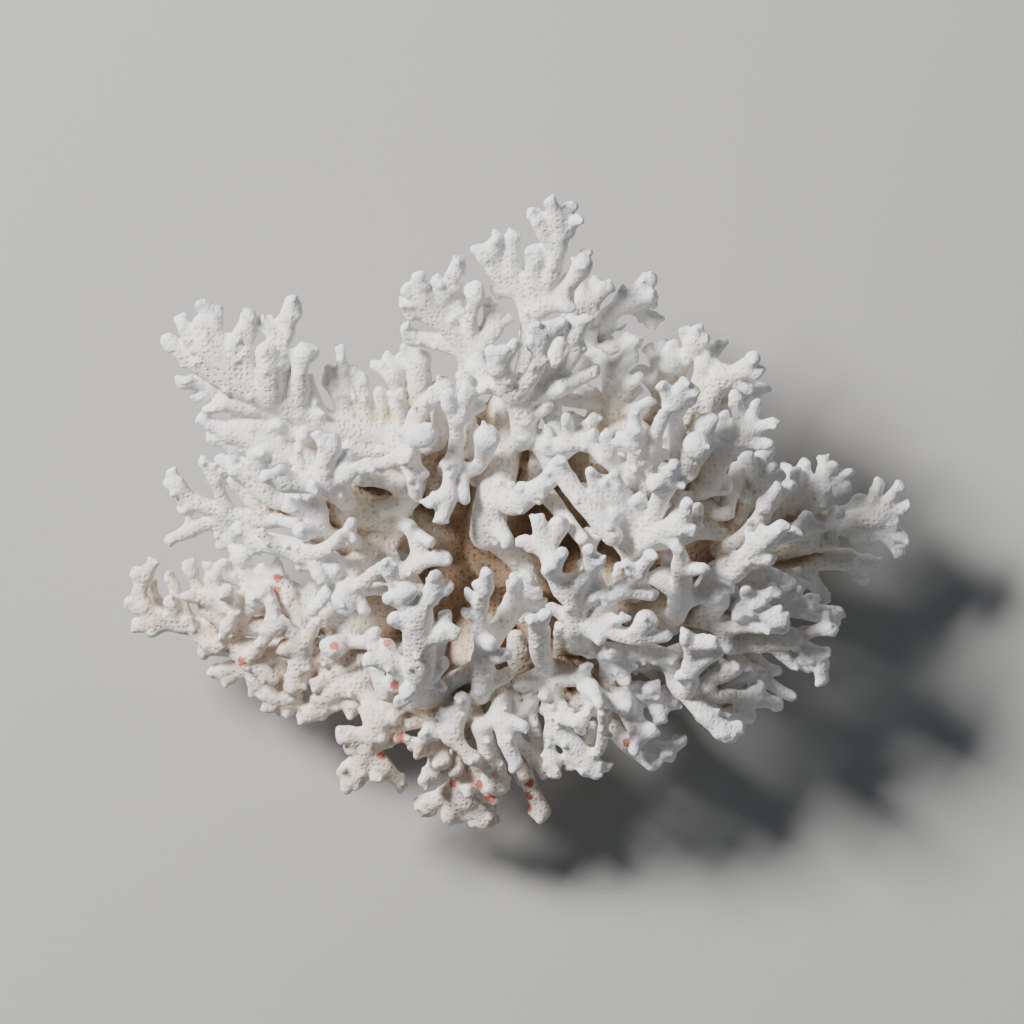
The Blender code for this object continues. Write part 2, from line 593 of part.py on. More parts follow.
    "southwest_tip": (
        "southwest_arm",
        (
            (2.4, 2.3, (205, 630, 30), (175, 625, 30), (155, 620, 30)),
            (2.3, 2.0, (155, 620, 30), (138, 600, 31), (142, 578, 32)),
            (1.7, 1.4, (165, 612, 25), (153, 600, 25), (150, 582, 26)),
        ),
        (
            (132, 571, 32), (153, 561, 34), (166, 573, 32), (124, 602, 30, 1.8), (131, 628, 28, 1.8),
            (146, 634, 28, 1.8), (166, 599, 34), (171, 587, 28),
        ),
    ),
    "west_long": (
        "west_bough",
        (
            (3.2, 2.2, (260, 520, 36), (220, 510, 36), (190, 500, 36), (178, 487, 37)),
            (2.2, 2.0, (215, 520, 34), (190, 530, 34)),
            (2.2, 2.0, (225, 508, 37), (215, 480, 40)),
            (2.0, 1.9, (258, 506, 38), (252, 485, 41), (235, 470, 42)),
            (2.4, 2.1, (262, 508, 38), (243, 492, 38), (232, 480, 39)),
        ),
        (
            (170, 471, 38), (165, 484, 37, 1.2), (165, 541, 34), (178, 511, 34), (217, 548, 32, 1.6),
            (201, 460, 42), (219, 456, 42),
        ),
    ),
    "west_upper": (
        "west_bough",
        (
            (3.7, 3.2, (320, 470, 44), (270, 445, 46), (230, 432, 46)),
            (3.1, 2.6, (318, 442, 46), (275, 427, 47), (240, 424, 46)),
            (3.0, 2.6, (275, 500, 41), (262, 478, 43), (256, 455, 46)),
            (2.5, 2.1, (280, 442, 45), (240, 446, 44), (215, 437, 43)),
            (2.6, 2.2, (330, 462, 45), (300, 458, 46), (275, 458, 47)),
        ),
        (
            (198, 418, 46, 1.8), (212, 436, 44), (232, 455, 43), (260, 455, 50), (300, 437, 52),
            (303, 478, 50), (276, 424, 51),
        ),
    ),
    "northwest_crown": (
        "northwest_bough",
        (
            (4.1, 3.5, (330, 425, 47), (285, 402, 51), (245, 385, 53), (222, 362, 54), (208, 345, 55)),
            (3.2, 2.8, (208, 345, 55), (203, 325, 56)),
            (2.4, 2.2, (232, 358, 55), (240, 338, 57), (249, 324, 58)),
            (3.7, 3.3, (272, 392, 54), (270, 372, 57), (268, 354, 58)),
            (2.2, 2.0, (280, 352, 57), (289, 332, 58), (292, 314, 59)),
            (2.8, 2.6, (300, 396, 53), (301, 372, 56), (304, 358, 57)),
            (3.3, 2.8, (315, 415, 48), (265, 408, 49), (225, 403, 49)),
            (2.5, 2.2, (245, 392, 51), (212, 374, 52), (188, 358, 52), (172, 345, 52)),
            (2.4, 2.2, (225, 372, 53), (205, 358, 53), (192, 338, 54)),
            (2.2, 2.0, (250, 374, 54), (248, 352, 56), (250, 336, 57)),
            (1.9, 1.7, (280, 356, 57), (277, 332, 57)),
            (2.2, 2.0, (236, 372, 54), (222, 345, 55), (216, 325, 56)),
            (2.9, 2.6, (290, 400, 52), (284, 378, 53), (284, 356, 55)),
            (2.6, 2.4, (318, 415, 48), (312, 396, 51), (308, 382, 52)),
            (2.4, 2.2, (240, 404, 48), (215, 388, 48), (200, 382, 48)),
        ),
        (
            (163, 340, 52, 1.6), (180, 318, 54, 1.7), (203, 303, 57, 1.9), (219, 308, 56, 1.6),
            (179, 384, 50, 1.7), (252, 312, 60, 1.9), (262, 320, 58, 1.6), (292, 299, 60, 1.9),
            (301, 313, 58, 1.3), (268, 320, 54, 1.6), (311, 349, 58, 2.9), (284, 364, 58, 1.6),
            (319, 352, 57, 1.3), (205, 412, 47, 1.7), (196, 400, 47, 1.6), (236, 418, 46, 1.7),
            (318, 414, 52, 1.7), (228, 334, 55, 1.5),
        ),
    ),
    "north_northwest": (
        "northwest_bough",
        (
            (2.6, 2.2, (372, 432, 44), (364, 402, 47), (346, 386, 48)),
            (1.9, 1.5, (346, 388, 48), (342, 370, 50)),
            (2.0, 1.9, (365, 400, 47), (362, 382, 48)),
            (2.2, 2.0, (350, 415, 46), (337, 395, 48), (329, 382, 49)),
            (2.2, 2.0, (400, 412, 46), (397, 388, 48), (392, 372, 49)),
            (2.1, 1.9, (384, 432, 44), (381, 408, 46), (380, 392, 47)),
        ),
        (
            (341, 347, 52, 1.2), (329, 366, 50, 1.3), (354, 367, 48, 1.5), (372, 365, 49, 1.6),
            (386, 354, 48, 1.5), (388, 372, 48, 1.3), (402, 366, 48, 1.6),
        ),
    ),
    "northwest_inner": (
        "northwest_bough",
        (
            (3.4, 3.2, (425, 430, 42), (420, 395, 46), (420, 360, 50)),
        ),
        (
            (403, 347, 50, 1.8), (398, 357, 48),
        ),
    ),
    "north_left": (
        "north_bough",
        (
            (3.0, 3.2, (468, 400, 52), (470, 362, 58), (455, 335, 61), (438, 318, 62), (422, 300, 64)),
            (2.4, 2.2, (470, 355, 60), (484, 340, 62), (496, 332, 63)),
            (1.8, 1.4, (472, 340, 62), (473, 318, 66), (477, 297, 68)),
            (2.4, 2.0, (440, 310, 62), (449, 290, 65), (458, 272, 67)),
            (2.4, 2.2, (455, 348, 59), (432, 341, 58), (412, 338, 57)),
            (2.2, 1.9, (432, 318, 61), (412, 312, 62)),
            (2.0, 1.8, (458, 322, 61), (455, 300, 63), (458, 288, 64)),
            (2.0, 1.8, (478, 345, 61), (492, 328, 62)),
        ),
        (
            (406, 290, 66, 1.7), (404, 303, 64, 1.6), (419, 277, 68, 1.9), (436, 281, 67, 1.6),
            (461, 261, 69, 1.8), (404, 329, 60, 1.7), (477, 286, 69, 1.6), (487, 304, 65, 1.5),
            (500, 309, 64, 1.5), (511, 318, 63, 1.6), (461, 313, 64, 1.2), (468, 289, 66, 1.2),
        ),
    ),
    "center_left_knob": (
        "northwest_bough",
        (
            (3.0, 2.6, (410, 462, 55), (411, 440, 59), (420, 412, 61), (445, 388, 61)),
            (2.4, 2.0, (408, 450, 57), (412, 474, 58), (416, 488, 56)),
            (2.2, 1.7, (405, 452, 57), (388, 463, 57), (368, 466, 57)),
            (2.2, 2.0, (440, 442, 52), (438, 420, 54), (437, 408, 55)),
            (2.6, 2.2, (395, 452, 46), (368, 452, 46), (348, 447, 47)),
            (3.7, 2.9, (412, 484, 45), (385, 478, 44), (362, 476, 43)),
            (4.0, 3.1, (405, 500, 41), (378, 508, 40), (352, 520, 40)),
            (3.5, 2.9, (400, 530, 36), (375, 540, 36), (352, 548, 37)),
        ),
        (
            (430, 435, 68, 3.6), (424, 476, 58, 1.3), (417, 498, 55, 1.6), (357, 468, 57, 1.3),
            (402, 432, 62, 1.5),
        ),
    ),
    "center_knob": (
        "northwest_bough",
        (
            (2.2, 2.0, (455, 470, 54), (476, 469, 57), (484, 455, 60)),
            (2.4, 2.0, (456, 450, 56), (457, 425, 60), (451, 405, 64)),
            (2.0, 1.7, (458, 422, 61), (466, 405, 64), (467, 394, 66)),
            (2.0, 2.0, (451, 464, 58), (449, 482, 60), (448, 499, 60)),
            (2.4, 2.1, (478, 472, 50), (472, 445, 52), (470, 424, 54)),
        ),
        (
            (488, 434, 69, 3.9), (449, 394, 67, 1.6), (467, 384, 67, 1.3), (475, 392, 66, 1.5),
            (481, 404, 60, 1.6), (427, 505, 62, 1.6), (441, 522, 60, 2.0), (464, 500, 60, 1.6),
            (444, 463, 61, 1.5), (456, 463, 61, 1.5),
        ),
    ),
    "west_heart": (
        "west_bough",
        (
            (2.8, 2.6, (345, 500, 48), (330, 486, 53), (300, 484, 56), (284, 482, 57)),
            (3.2, 2.8, (325, 484, 54), (326, 462, 57), (333, 446, 59)),
            (1.7, 1.4, (303, 478, 55), (300, 460, 56), (299, 446, 56)),
            (2.2, 1.9, (335, 482, 54), (348, 475, 56)),
        ),
        (
            (264, 475, 60, 1.9), (281, 467, 60, 1.5), (314, 490, 58, 1.9), (318, 433, 60, 1.7),
            (336, 436, 60, 1.7), (355, 472, 58, 1.6), (345, 452, 57, 1.7),
        ),
    ),
    "west_grey": (
        "west_bough",
        (
            (3.9, 3.3, (348, 572, 42), (325, 560, 45), (290, 548, 45), (255, 540, 43)),
            (2.2, 2.0, (300, 556, 47), (325, 549, 50), (343, 535, 53)),
            (3.2, 2.6, (350, 580, 44), (345, 592, 46)),
            (2.0, 1.9, (352, 588, 46), (370, 576, 49), (382, 568, 50)),
            (3.0, 2.8, (325, 535, 44), (318, 518, 46), (316, 502, 47)),
            (2.6, 2.4, (400, 572, 40), (418, 556, 41), (416, 538, 42)),
            (2.2, 1.9, (402, 572, 42), (424, 562, 43), (441, 558, 43)),
            (2.2, 2.0, (398, 592, 43), (378, 589, 42), (363, 590, 42)),
        ),
        (
            (352, 523, 55, 1.6), (353, 538, 53, 1.3), (250, 552, 42, 2.0), (270, 546, 45, 1.7),
            (288, 547, 46, 2.0), (235, 525, 44, 2.0), (298, 531, 52, 3.5), (287, 505, 51, 3.5),
            (338, 606, 48, 3.2), (348, 612, 47, 2.0), (366, 613, 45, 1.9), (310, 614, 42, 1.3),
            (318, 602, 42, 1.6), (432, 543, 47, 1.2), (412, 530, 44, 2.0), (449, 562, 43, 1.5),
            (330, 572, 48, 2.9),
        ),
    ),
}


def clear_scene():
    """Removes whatever the open file holds."""
    for thing in list(bpy.data.objects):
        bpy.data.objects.remove(thing, do_unlink=True)


def place(point):
    """A plan point (x, y, height) in millimetres from the origin."""
    x, y, height = point[:3]
    return np.array([(x - PLAN_MIDDLE[0]) * PLAN_STEP, (PLAN_MIDDLE[1] - y) * PLAN_STEP, height])


def smooth_path(points, start_radius, end_radius):
    """Points about PATH_STEP apart on a Catmull-Rom curve through the given ones, with a radius for each."""
    ends = [2 * points[0] - points[1], *points, 2 * points[-1] - points[-2]]
    samples = []
    for before, start, end, after in zip(ends, ends[1:], ends[2:], ends[3:]):
        count = max(2, round(np.linalg.norm(end - start) / PATH_STEP))
        for t in np.arange(count) / count:
            samples.append(
                0.5 * (2 * start + (end - before) * t + (2 * before - 5 * start + 4 * end - after) * t**2
                       + (3 * start - before - 3 * end + after) * t**3)
            )
    samples = np.array([*samples, points[-1]])
    along = np.concatenate([[0.0], np.cumsum(np.linalg.norm(np.diff(samples, axis=0), axis=1))])
    radii = np.interp(along, [0.0, along[-1]], [start_radius, end_radius])
    return samples, radii, along


def best_root(tip, samples, growth):
    """The sample that a shoot to this tip leaves: the least of its distance and part of the growth there."""
    cost = np.linalg.norm(samples - tip, axis=1) + FINGER_SLANT * growth
    return int(np.argmin(cost))


def rounded_end(samples, radii):
    """Adds two narrowing points past the last one, so that the end is blunt and round."""
    heading = samples[-1] - samples[-2]
    heading = heading / np.linalg.norm(heading)
    radius = radii[-1]
    beyond = [samples[-1] + heading * radius * reach for reach, _ in END_PROFILE]
    narrowed = [radius * share for _, share in END_PROFILE]
    return np.vstack([samples, beyond]), np.concatenate([radii, narrowed])


class Growth:
    """The limbs of one solid: the tubes to draw, and the samples that further shoots can leave."""

    def __init__(self):
        self.tubes = []
        self.samples = np.zeros((0, 3))
        self.growth = np.zeros(0)

    def add_limb(self, points, start_radius, end_radius, carrier):
        """One limb through the points. If it starts clear of its carrier, it is led back to it."""
        begun = 0.0
        if len(carrier.samples):
            root = best_root(points[0], carrier.samples, carrier.growth)
            begun = carrier.growth[root]
            if np.linalg.norm(carrier.samples[root] - points[0]) > PATH_STEP:
                points = [carrier.samples[root], *points]
        samples, radii, along = smooth_path(points, start_radius, end_radius)
        self.tubes.append(rounded_end(samples, radii))
        self.samples = np.vstack([self.samples, samples])
        self.growth = np.concatenate([self.growth, begun + along])

    def add_finger(self, tip, radius):
        """One blunt finger whose outer end is the tip."""
        root = self.samples[best_root(tip, self.samples, self.growth)]
        heading = (tip - root) / np.linalg.norm(tip - root)
        middle = tip - heading * radius * END_SET_BACK
        samples = np.array([root, (root + middle) / 2, middle])
        root_radius = min(FINGER_SWELL * radius, STALK_RADIUS)
        radii = np.array([root_radius, (root_radius + radius) / 2, radius])
        self.tubes.append(rounded_end(samples, radii))

    def add_under_fingers(self, limb):
        """Short fingers below a limb, to its left and right in turn."""
        samples, along = limb[0], np.linalg.norm(np.diff(limb[0], axis=0), axis=1).cumsum()
        side = 1.0
        for distance in np.arange(UNDER_SPACING, along[-1] - UNDER_SPACING / 2, UNDER_SPACING):
            at = int(np.searchsorted(along, distance))
            heading = samples[at + 1] - samples[at]
            heading = heading / np.linalg.norm(heading)
            sideways = np.cross(heading, [0.0, 0.0, 1.0]) * side
            turn = heading + UNDER_SPREAD * sideways - np.array([0.0, 0.0, UNDER_DROP])
            self.add_finger(samples[at] + UNDER_LENGTH * turn / np.linalg.norm(turn), UNDER_RADIUS)
            side = -side


def grow_colony():
    """Each solid's limbs and fingers, from the trunk outwards."""
    none = Growth()
    grown = {}
    for name, (start_radius, end_radius, *points) in BOUGHS.items():
        grown[name] = Growth()
        grown[name].add_limb([place(p) for p in points], start_radius, end_radius, none)
        grown[name].add_under_fingers(grown[name].tubes[0])
    for name, (carrier, limbs, fingers) in SPRAYS.items():
        spray = Growth()
        for start_radius, end_radius, *points in limbs:
            origin = spray if len(spray.samples) else grown[carrier]
            spray.add_limb([place(p) for p in points], start_radius, end_radius, origin)
        for limb in list(spray.tubes):
            spray.add_under_fingers(limb)
        for finger in fingers:
            spray.add_finger(place(finger), finger[3] if len(finger) > 3 else FINGER_RADIUS)
        grown[name] = spray
    return grown


def new_object(name, data, collection):
    """Links an object of that data to the collection."""
    thing = bpy.data.objects.new(name, data)
    collection.objects.link(thing)
    return thing


def curve_of_tubes(name, tubes, collection):
    """A curve object with one closed tube for each path."""
    curve = bpy.data.curves.new(name, "CURVE")
    curve.dimensions = "3D"
    curve.bevel_depth = MM
    curve.bevel_resolution = 2
    curve.use_fill_caps = True
    for samples, radii in tubes:
        spline = curve.splines.new("POLY")
        spline.points.add(len(samples) - 1)
        for point, place_of, radius in zip(spline.points, samples, radii):
            point.co = (*(place_of * MM), 1.0)
            point.radius = radius
    return new_object(name, curve, collection)


def evaluated_mesh(thing):
    """A mesh of the object with its modifiers applied."""
    bpy.context.view_layer.update()
    depsgraph = bpy.context.evaluated_depsgraph_get()
    return bpy.data.meshes.new_from_object(thing.evaluated_get(depsgraph))


def apply_modifiers(thing):
    """Puts the evaluated mesh in the object's place."""
    old = thing.data
    thing.data = evaluated_mesh(thing)
    thing.modifiers.clear()
    bpy.data.meshes.remove(old)


def mesh_from_curve(thing, collection):
    """Turns a curve object into a mesh object with welded caps, and removes the curve."""
    mesh = evaluated_mesh(thing)
    work = bmesh.new()
    work.from_mesh(mesh)
    bmesh.ops.remove_doubles(work, verts=work.verts, dist=0.00001)
    work.to_mesh(mesh)
    work.free()
    name = thing.name
    curve = thing.data
    bpy.data.objects.remove(thing, do_unlink=True)
    bpy.data.curves.remove(curve)
    mesh.name = name
    return new_object(name, mesh, collection)


def is_closed(mesh):
    """True where every edge has two faces and every corner has one fan of them."""
    work = bmesh.new()
    work.from_mesh(mesh)
    closed = all(e.is_manifold for e in work.edges) and all(v.is_manifold for v in work.verts)
    work.free()
    return closed


def thin_to(thing, faces):
    """Thins the skin to about that many triangles, or to a few more where so few don't close."""
    triangles = sum(len(p.vertices) - 2 for p in thing.data.polygons)
    thin = thing.modifiers.new("Thin", "DECIMATE")
    thin.use_collapse_triangulate = True
    while True:
        thin.ratio = min(1.0, faces / triangles)
        mesh = evaluated_mesh(thing)
        if is_closed(mesh) or thin.ratio == 1.0:
            break
        bpy.data.meshes.remove(mesh)
        faces *= MORE_FACES
    thing.modifiers.clear()
    thing.data = mesh


def fuse(thing, faces):
    """Fuses overlapping tubes into one skin, rounds it a little and thins it to about that many triangles."""
    remesh = thing.modifiers.new("Fuse", "REMESH")
    remesh.mode = "VOXEL"
    remesh.voxel_size = VOXEL * MM
    rounding = thing.modifiers.new("Round", "SMOOTH")
    rounding.iterations = ROUNDING
    rounding.factor = 0.5
    apply_modifiers(thing)
    thin_to(thing, faces)


def trunk_radius(angle, radius):
    """The trunk's radius with its uneven waves."""
    return radius * (1 + sum(share * np.sin(waves * angle + phase) for waves, share, phase in TRUNK_WAVES))


def make_trunk(collection):
    """The stump: rings of an uneven turned profile, with a flat cut below."""
    middle = place((*TRUNK_MIDDLE, 0))
    work = bmesh.new()
    angles = 2 * np.pi * np.arange(TRUNK_SIDES) / TRUNK_SIDES
    rings = []
    for height, radius in TRUNK_PROFILE:
        out = trunk_radius(angles, radius)
        ring = [np.cos(angles) * out, np.sin(angles) * out, np.full(TRUNK_SIDES, height)]
        spots = middle + np.stack(ring, axis=1)
        rings.append([work.verts.new(spot * MM) for spot in spots])
    for low, high in zip(rings, rings[1:]):
        for k in range(TRUNK_SIDES):
            beside = (k + 1) % TRUNK_SIDES
            work.faces.new((low[k], low[beside], high[beside], high[k]))
    work.faces.new(rings[0][::-1])
    work.faces.new(rings[-1])
    bmesh.ops.triangulate(work, faces=work.faces)
    mesh = bpy.data.meshes.new("trunk")
    work.to_mesh(mesh)
    work.free()
    return new_object("trunk", mesh, collection)


def grown_copy(thing, gap, collection):
    """A cutter: the solid with the gap added all round."""
    mesh = thing.data.copy()
    cutter = new_object(thing.name + "_room", mesh, collection)
    cutter.hide_render = True
    cutter.display_type = "WIRE"
    swell = cutter.modifiers.new("Room", "DISPLACE")
    swell.strength = gap * MM
    swell.mid_level = 0.0
    apply_modifiers(cutter)
    return cutter


def search_tree(thing):
    """A tree of the object's triangles for overlap tests."""
    return BVHTree.FromPolygons(
        [v.co for v in thing.data.vertices], [tuple(p.vertices) for p in thing.data.polygons]
    )


def loose_bodies(work):
    """The sets of corners that edges join."""
    left = set(work.verts)
    bodies = []
    while left:
        stack = [left.pop()]
        body = set(stack)
        while stack:
            for edge in stack.pop().link_edges:
                fresh = left.intersection(edge.verts)
                left -= fresh
                body |= fresh
                stack.extend(fresh)
        bodies.append(body)
    return bodies


def box_volume(body):
    """The volume of the box around a set of corners."""
    spots = np.array([v.co[:] for v in body])
    return float(np.prod(spots.max(axis=0) - spots.min(axis=0)))


def keep_largest_body(mesh):
    """Deletes every loose body but the largest, and leaves triangles that face outwards."""
    work = bmesh.new()
    work.from_mesh(mesh)
    largest = max(loose_bodies(work), key=box_volume)
    bmesh.ops.delete(work, geom=[v for v in work.verts if v not in largest], context="VERTS")
    bmesh.ops.triangulate(work, faces=work.faces)
    bmesh.ops.recalc_face_normals(work, faces=work.faces)
    work.to_mesh(mesh)
    work.free()


def cut_away(thing, cutter):
    """Takes the cutter's space out of the solid, and then removes the cutter."""
    cut = thing.modifiers.new("Cut", "BOOLEAN")
    cut.operation = "DIFFERENCE"
    cut.solver = "EXACT"
    cut.use_self = True
    cut.object = cutter
    apply_modifiers(thing)
    room = cutter.data
    bpy.data.objects.remove(cutter, do_unlink=True)
    bpy.data.meshes.remove(room)


def fit_between(thing, neighbours, faces, collection):
    """Cuts the solid clear of its earlier neighbours, with a wider gap each time until it crosses none."""
    gap = JOINT_GAP
    rooms = [grown_copy(other, gap, collection) for other in neighbours]
    skin = search_tree(thing)
    crossed = [room for room in rooms if skin.overlap(search_tree(room))]
    for room in rooms:
        if room not in crossed:
            bpy.data.objects.remove(room, do_unlink=True)
    while crossed:
        for room in crossed:
            cut_away(thing, room)
        keep_largest_body(thing.data)
        fuse(thing, faces)
        keep_largest_body(thing.data)
        gap += WIDER_GAP
        skin = search_tree(thing)
        close = [other for other in neighbours if skin.overlap(search_tree(other))]
        crossed = [grown_copy(other, gap, collection) for other in close]


def material(name, colour, roughness):
    """A plain dielectric of that colour."""
    skin = bpy.data.materials.new(name)
    skin.use_nodes = True
    shader = skin.node_tree.nodes["Principled BSDF"]
    shader.inputs["Base Color"].default_value = colour
    shader.inputs["Roughness"].default_value = roughness
    shader.inputs["Metallic"].default_value = 0.0
    return skin


def colour_of(name):
    """Bleached white above, cream on the boughs, and beige at the older lower left."""
    if name == "trunk" or name.endswith("_bough"):
        return CREAM
    if name.startswith(("southwest_low", "southwest_foot", "southwest_lace", "south_wedge", "southwest_tip")):
        return BEIGE
    return WHITE


def build():
    """Makes every solid, each cut clear of those before it."""
    clear_scene()
    scene = bpy.context.scene
    coral = bpy.data.collections.new("branching_coral")
    cutters = bpy.data.collections.new("cutters")
    scene.collection.children.link(coral)
    scene.collection.children.link(cutters)
    solids = [make_trunk(coral)]
    faces = [0]
    for name, growth in grow_colony().items():
        solid = mesh_from_curve(curve_of_tubes(name, growth.tubes, coral), coral)
        limbs = sum(len(samples) > FINGER_SAMPLES for samples, _ in growth.tubes)
        fingers = len(growth.tubes) - limbs
        faces.append(FACES_PER_FINGER * fingers + FACES_PER_LIMB * limbs)
        fuse(solid, FACES_BEFORE_CUTS * faces[-1])
        solids.append(solid)
    for count, (solid, most) in enumerate(zip(solids, faces)):
        fit_between(solid, solids[:count], most, cutters)
        solid.data.materials.clear()
        solid.data.materials.append(material(solid.name + "_skin", colour_of(solid.name), 0.85))
        solid.data.shade_smooth()
        solid.data.set_sharp_from_angle(angle=np.radians(50))


build()
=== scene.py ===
"""The dry bleached coral from straight above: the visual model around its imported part.

The skin is worked out in millimetres on one grid. A limb or finger is a row of rounded cones, and a point p is
|p - (a + t ab)| - (ra + t (rb - ra)) from one of them, with t = clip((p - a).ab / |ab|^2, 0, 1). The least of these
over a tube is its distance d, and the tubes are joined as -k ln(sum(exp(-d / k))), which leaves small webs where
they meet. Lumps from a random lattice are added, and the skin is where the sum is zero.

Each family of branches is one closed piece. It ends where another family is nearer, a little way inside it.
"""

import bpy
import numpy as np
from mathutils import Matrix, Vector

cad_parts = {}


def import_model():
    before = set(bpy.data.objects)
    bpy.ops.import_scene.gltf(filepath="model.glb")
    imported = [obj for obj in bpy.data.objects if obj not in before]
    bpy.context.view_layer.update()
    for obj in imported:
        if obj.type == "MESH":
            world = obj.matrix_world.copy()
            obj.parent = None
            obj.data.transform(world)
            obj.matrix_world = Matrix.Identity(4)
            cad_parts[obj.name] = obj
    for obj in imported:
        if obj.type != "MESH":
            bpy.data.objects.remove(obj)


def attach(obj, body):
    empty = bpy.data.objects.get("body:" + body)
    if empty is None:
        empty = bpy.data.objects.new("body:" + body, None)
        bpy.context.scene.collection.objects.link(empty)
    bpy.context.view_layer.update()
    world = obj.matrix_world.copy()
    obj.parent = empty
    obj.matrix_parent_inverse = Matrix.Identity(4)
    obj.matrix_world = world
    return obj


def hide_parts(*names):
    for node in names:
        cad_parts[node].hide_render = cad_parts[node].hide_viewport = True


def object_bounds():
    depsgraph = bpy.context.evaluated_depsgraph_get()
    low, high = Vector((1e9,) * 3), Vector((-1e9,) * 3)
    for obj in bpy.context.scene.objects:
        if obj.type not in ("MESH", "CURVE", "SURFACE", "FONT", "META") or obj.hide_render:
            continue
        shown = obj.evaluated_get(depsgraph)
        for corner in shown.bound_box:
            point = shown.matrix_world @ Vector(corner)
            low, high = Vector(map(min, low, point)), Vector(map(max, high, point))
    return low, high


MM = 0.001
PLAN_STEP = 0.25  # mm in one step of the plan
PLAN_MIDDLE = (517.0, 517.5)  # the plan place that stands over the origin
PATH_STEP = 1.5  # mm between the points along a limb
FINGER_RADIUS = 1.3  # mm, a finger's blunt end where none is given
FINGER_SWELL = 1.65  # a finger's root against its end
STALK_RADIUS = 2.4  # mm, a finger's root at most
FINGER_SLANT = 0.5  # cosine of the angle between a finger and its limb
END_SET_BACK = 0.6  # of the radius, from a finger's outer end to the middle of its rounding
UNDER_LENGTH = 9.0  # mm, a short finger on the shaded side of a limb
UNDER_SPACING = 13.0  # mm between those
UNDER_RADIUS = 1.5
UNDER_DROP = 0.55  # how steeply they point down
UNDER_SPREAD = 1.1  # how far they turn sideways

# Nubs and webs, which only the skin has
FINGER_POINTS = 3  # samples along a finger
NUBS_BEFORE_END = (0.0, 0.7, 1.8, 3.4)  # mm from the last sample of a finger
NUB_SPACING = 2.6  # mm, along a limb
NUB_RISE = 0.3  # how far they turn up
NUB_LEAN = 0.8  # how far they lean towards the limb's end
NUB_RADIUS = (0.6, 0.95)  # mm
NUB_LENGTH = (0.4, 1.9)  # mm out of the limb
TIP_NUB_LENGTH = (0.5, 1.3)
NUB_SEED = 11
WEB_ROOTS = 7.5  # mm between two arms' roots at most
WEB_NARROW = 0.97  # cosines of the angle between them
WEB_WIDE = 0.1
WEB_SPACING = 1.7  # mm from rung to rung
WEB_SHARE = 0.62  # of the arms' length that the web fills at its sides
WEB_SPAN = 9.5  # mm from arm to arm at most
WEB_HOLLOW = 0.16  # how far a rung's middle is drawn to the roots
WEB_RADIUS = 0.95  # mm, half its thickness

# The skin
STEP = 0.555  # mm between grid points
REACH = 3.6  # mm around a tube where it counts
FAR = 1000.0  # mm, the distance to what lies farther
BLEND = 0.36  # mm, the k of the joining sum
LUMPS = ((5.5, 0.4, 3), (2.0, 0.34, 7))  # (mm between lattice points, mm of height, seed)
BOX_GAP = 0.02  # mm left inside the part's box
SHRINK = 0.1  # mm taken off all round, so that the lumps stay inside the part's box
OVERLAP = 0.5  # mm that a piece goes on inside its neighbour
DIVE = 0.08  # mm that it sinks below the neighbour's skin there

# Crowding: how much coral lies around a point
CROWD_BLUR = 4.5  # mm
HOLLOW_BLUR = 1.9  # mm, for the hollows between two branches
CANOPY_BLUR = 9.0  # mm
CROWD_COARSE = 3  # grid steps in one step of the coarse grid

# The picture
FRAME_WIDTH = 0.256  # m across the picture at the height of most of the colony
FRAME_MIDDLE = (-0.00125, 0.001375)
FRAME_HEIGHT = 0.045
CAMERA_DISTANCE = 2.4

# Colours
TIP_WHITE = (0.90, 0.90, 0.91, 1.0)
LIMB_WHITE = (0.87, 0.83, 0.77, 1.0)
# The next two are painted shade for the hollows and what lies below the canopy, partly the older inner skeleton's own
# cream
HALF_SHADE_CREAM = (0.74, 0.61, 0.45, 1.0)
SHADE_TAN = (0.30, 0.205, 0.13, 1.0)
PINKISH = (0.86, 0.77, 0.69, 1.0)
OLD_TAN = (0.62, 0.48, 0.35, 1.0)
CUP_SHADE_TINT = (0.66, 0.56, 0.46)  # painted shade in the cups: what a cup's bottom keeps of the colour around it
RED = (0.52, 0.10, 0.05, 1.0)
STUMP_PALE_BELOW = (10.0, 24.0)  # mm up the stump, where its cream turns into the tan painted shade of the depths
CUP_SPACING = 1.4  # mm between the cups
TIP_FADE = 7.0  # mm from a finger's end to plain limb colour
STAIN_SIZE = 1.5  # mm across half a red mark
STAINS = (
    (277, 577), (277, 590), (240, 662), (334, 646), (387, 642), (400, 738), (395, 685), (380, 757),
    (453, 785), (480, 785), (490, 800), (530, 785), (529, 798), (530, 810), (520, 795), (628, 743),
)
FLOOR_GREY = (0.42, 0.42, 0.42, 1.0)
FLOOR_SIZE = 6.0  # m
WORLD_LIGHT = 0.09
# Lamps: name, place in metres, size, watts, colour
LIGHTS = (
    ("key", (-1.2, 0.85, 1.3), 0.5, 92.0, (1.0, 0.98, 0.96)),
    ("fill", (0.9, -0.9, 1.4), 1.2, 2.0, (0.9, 0.95, 1.0)),
)
TRUNK_SLOPE = 0.8  # how far a step sideways from the stump's flared side takes one from it

# Trunk: (height, radius) up the stump from the flat cut, and its middle in the plan
TRUNK_MIDDLE = (503, 550)
TRUNK_WAVES = ((3, 0.05, 0.6), (5, 0.03, 2.0))  # (waves round the trunk, share of the radius, phase)
TRUNK_PROFILE = ((0.0, 25.0), (3.0, 24.6), (8.0, 21.0), (15.0, 17.0), (24.0, 13.5), (29.0, 9.0))

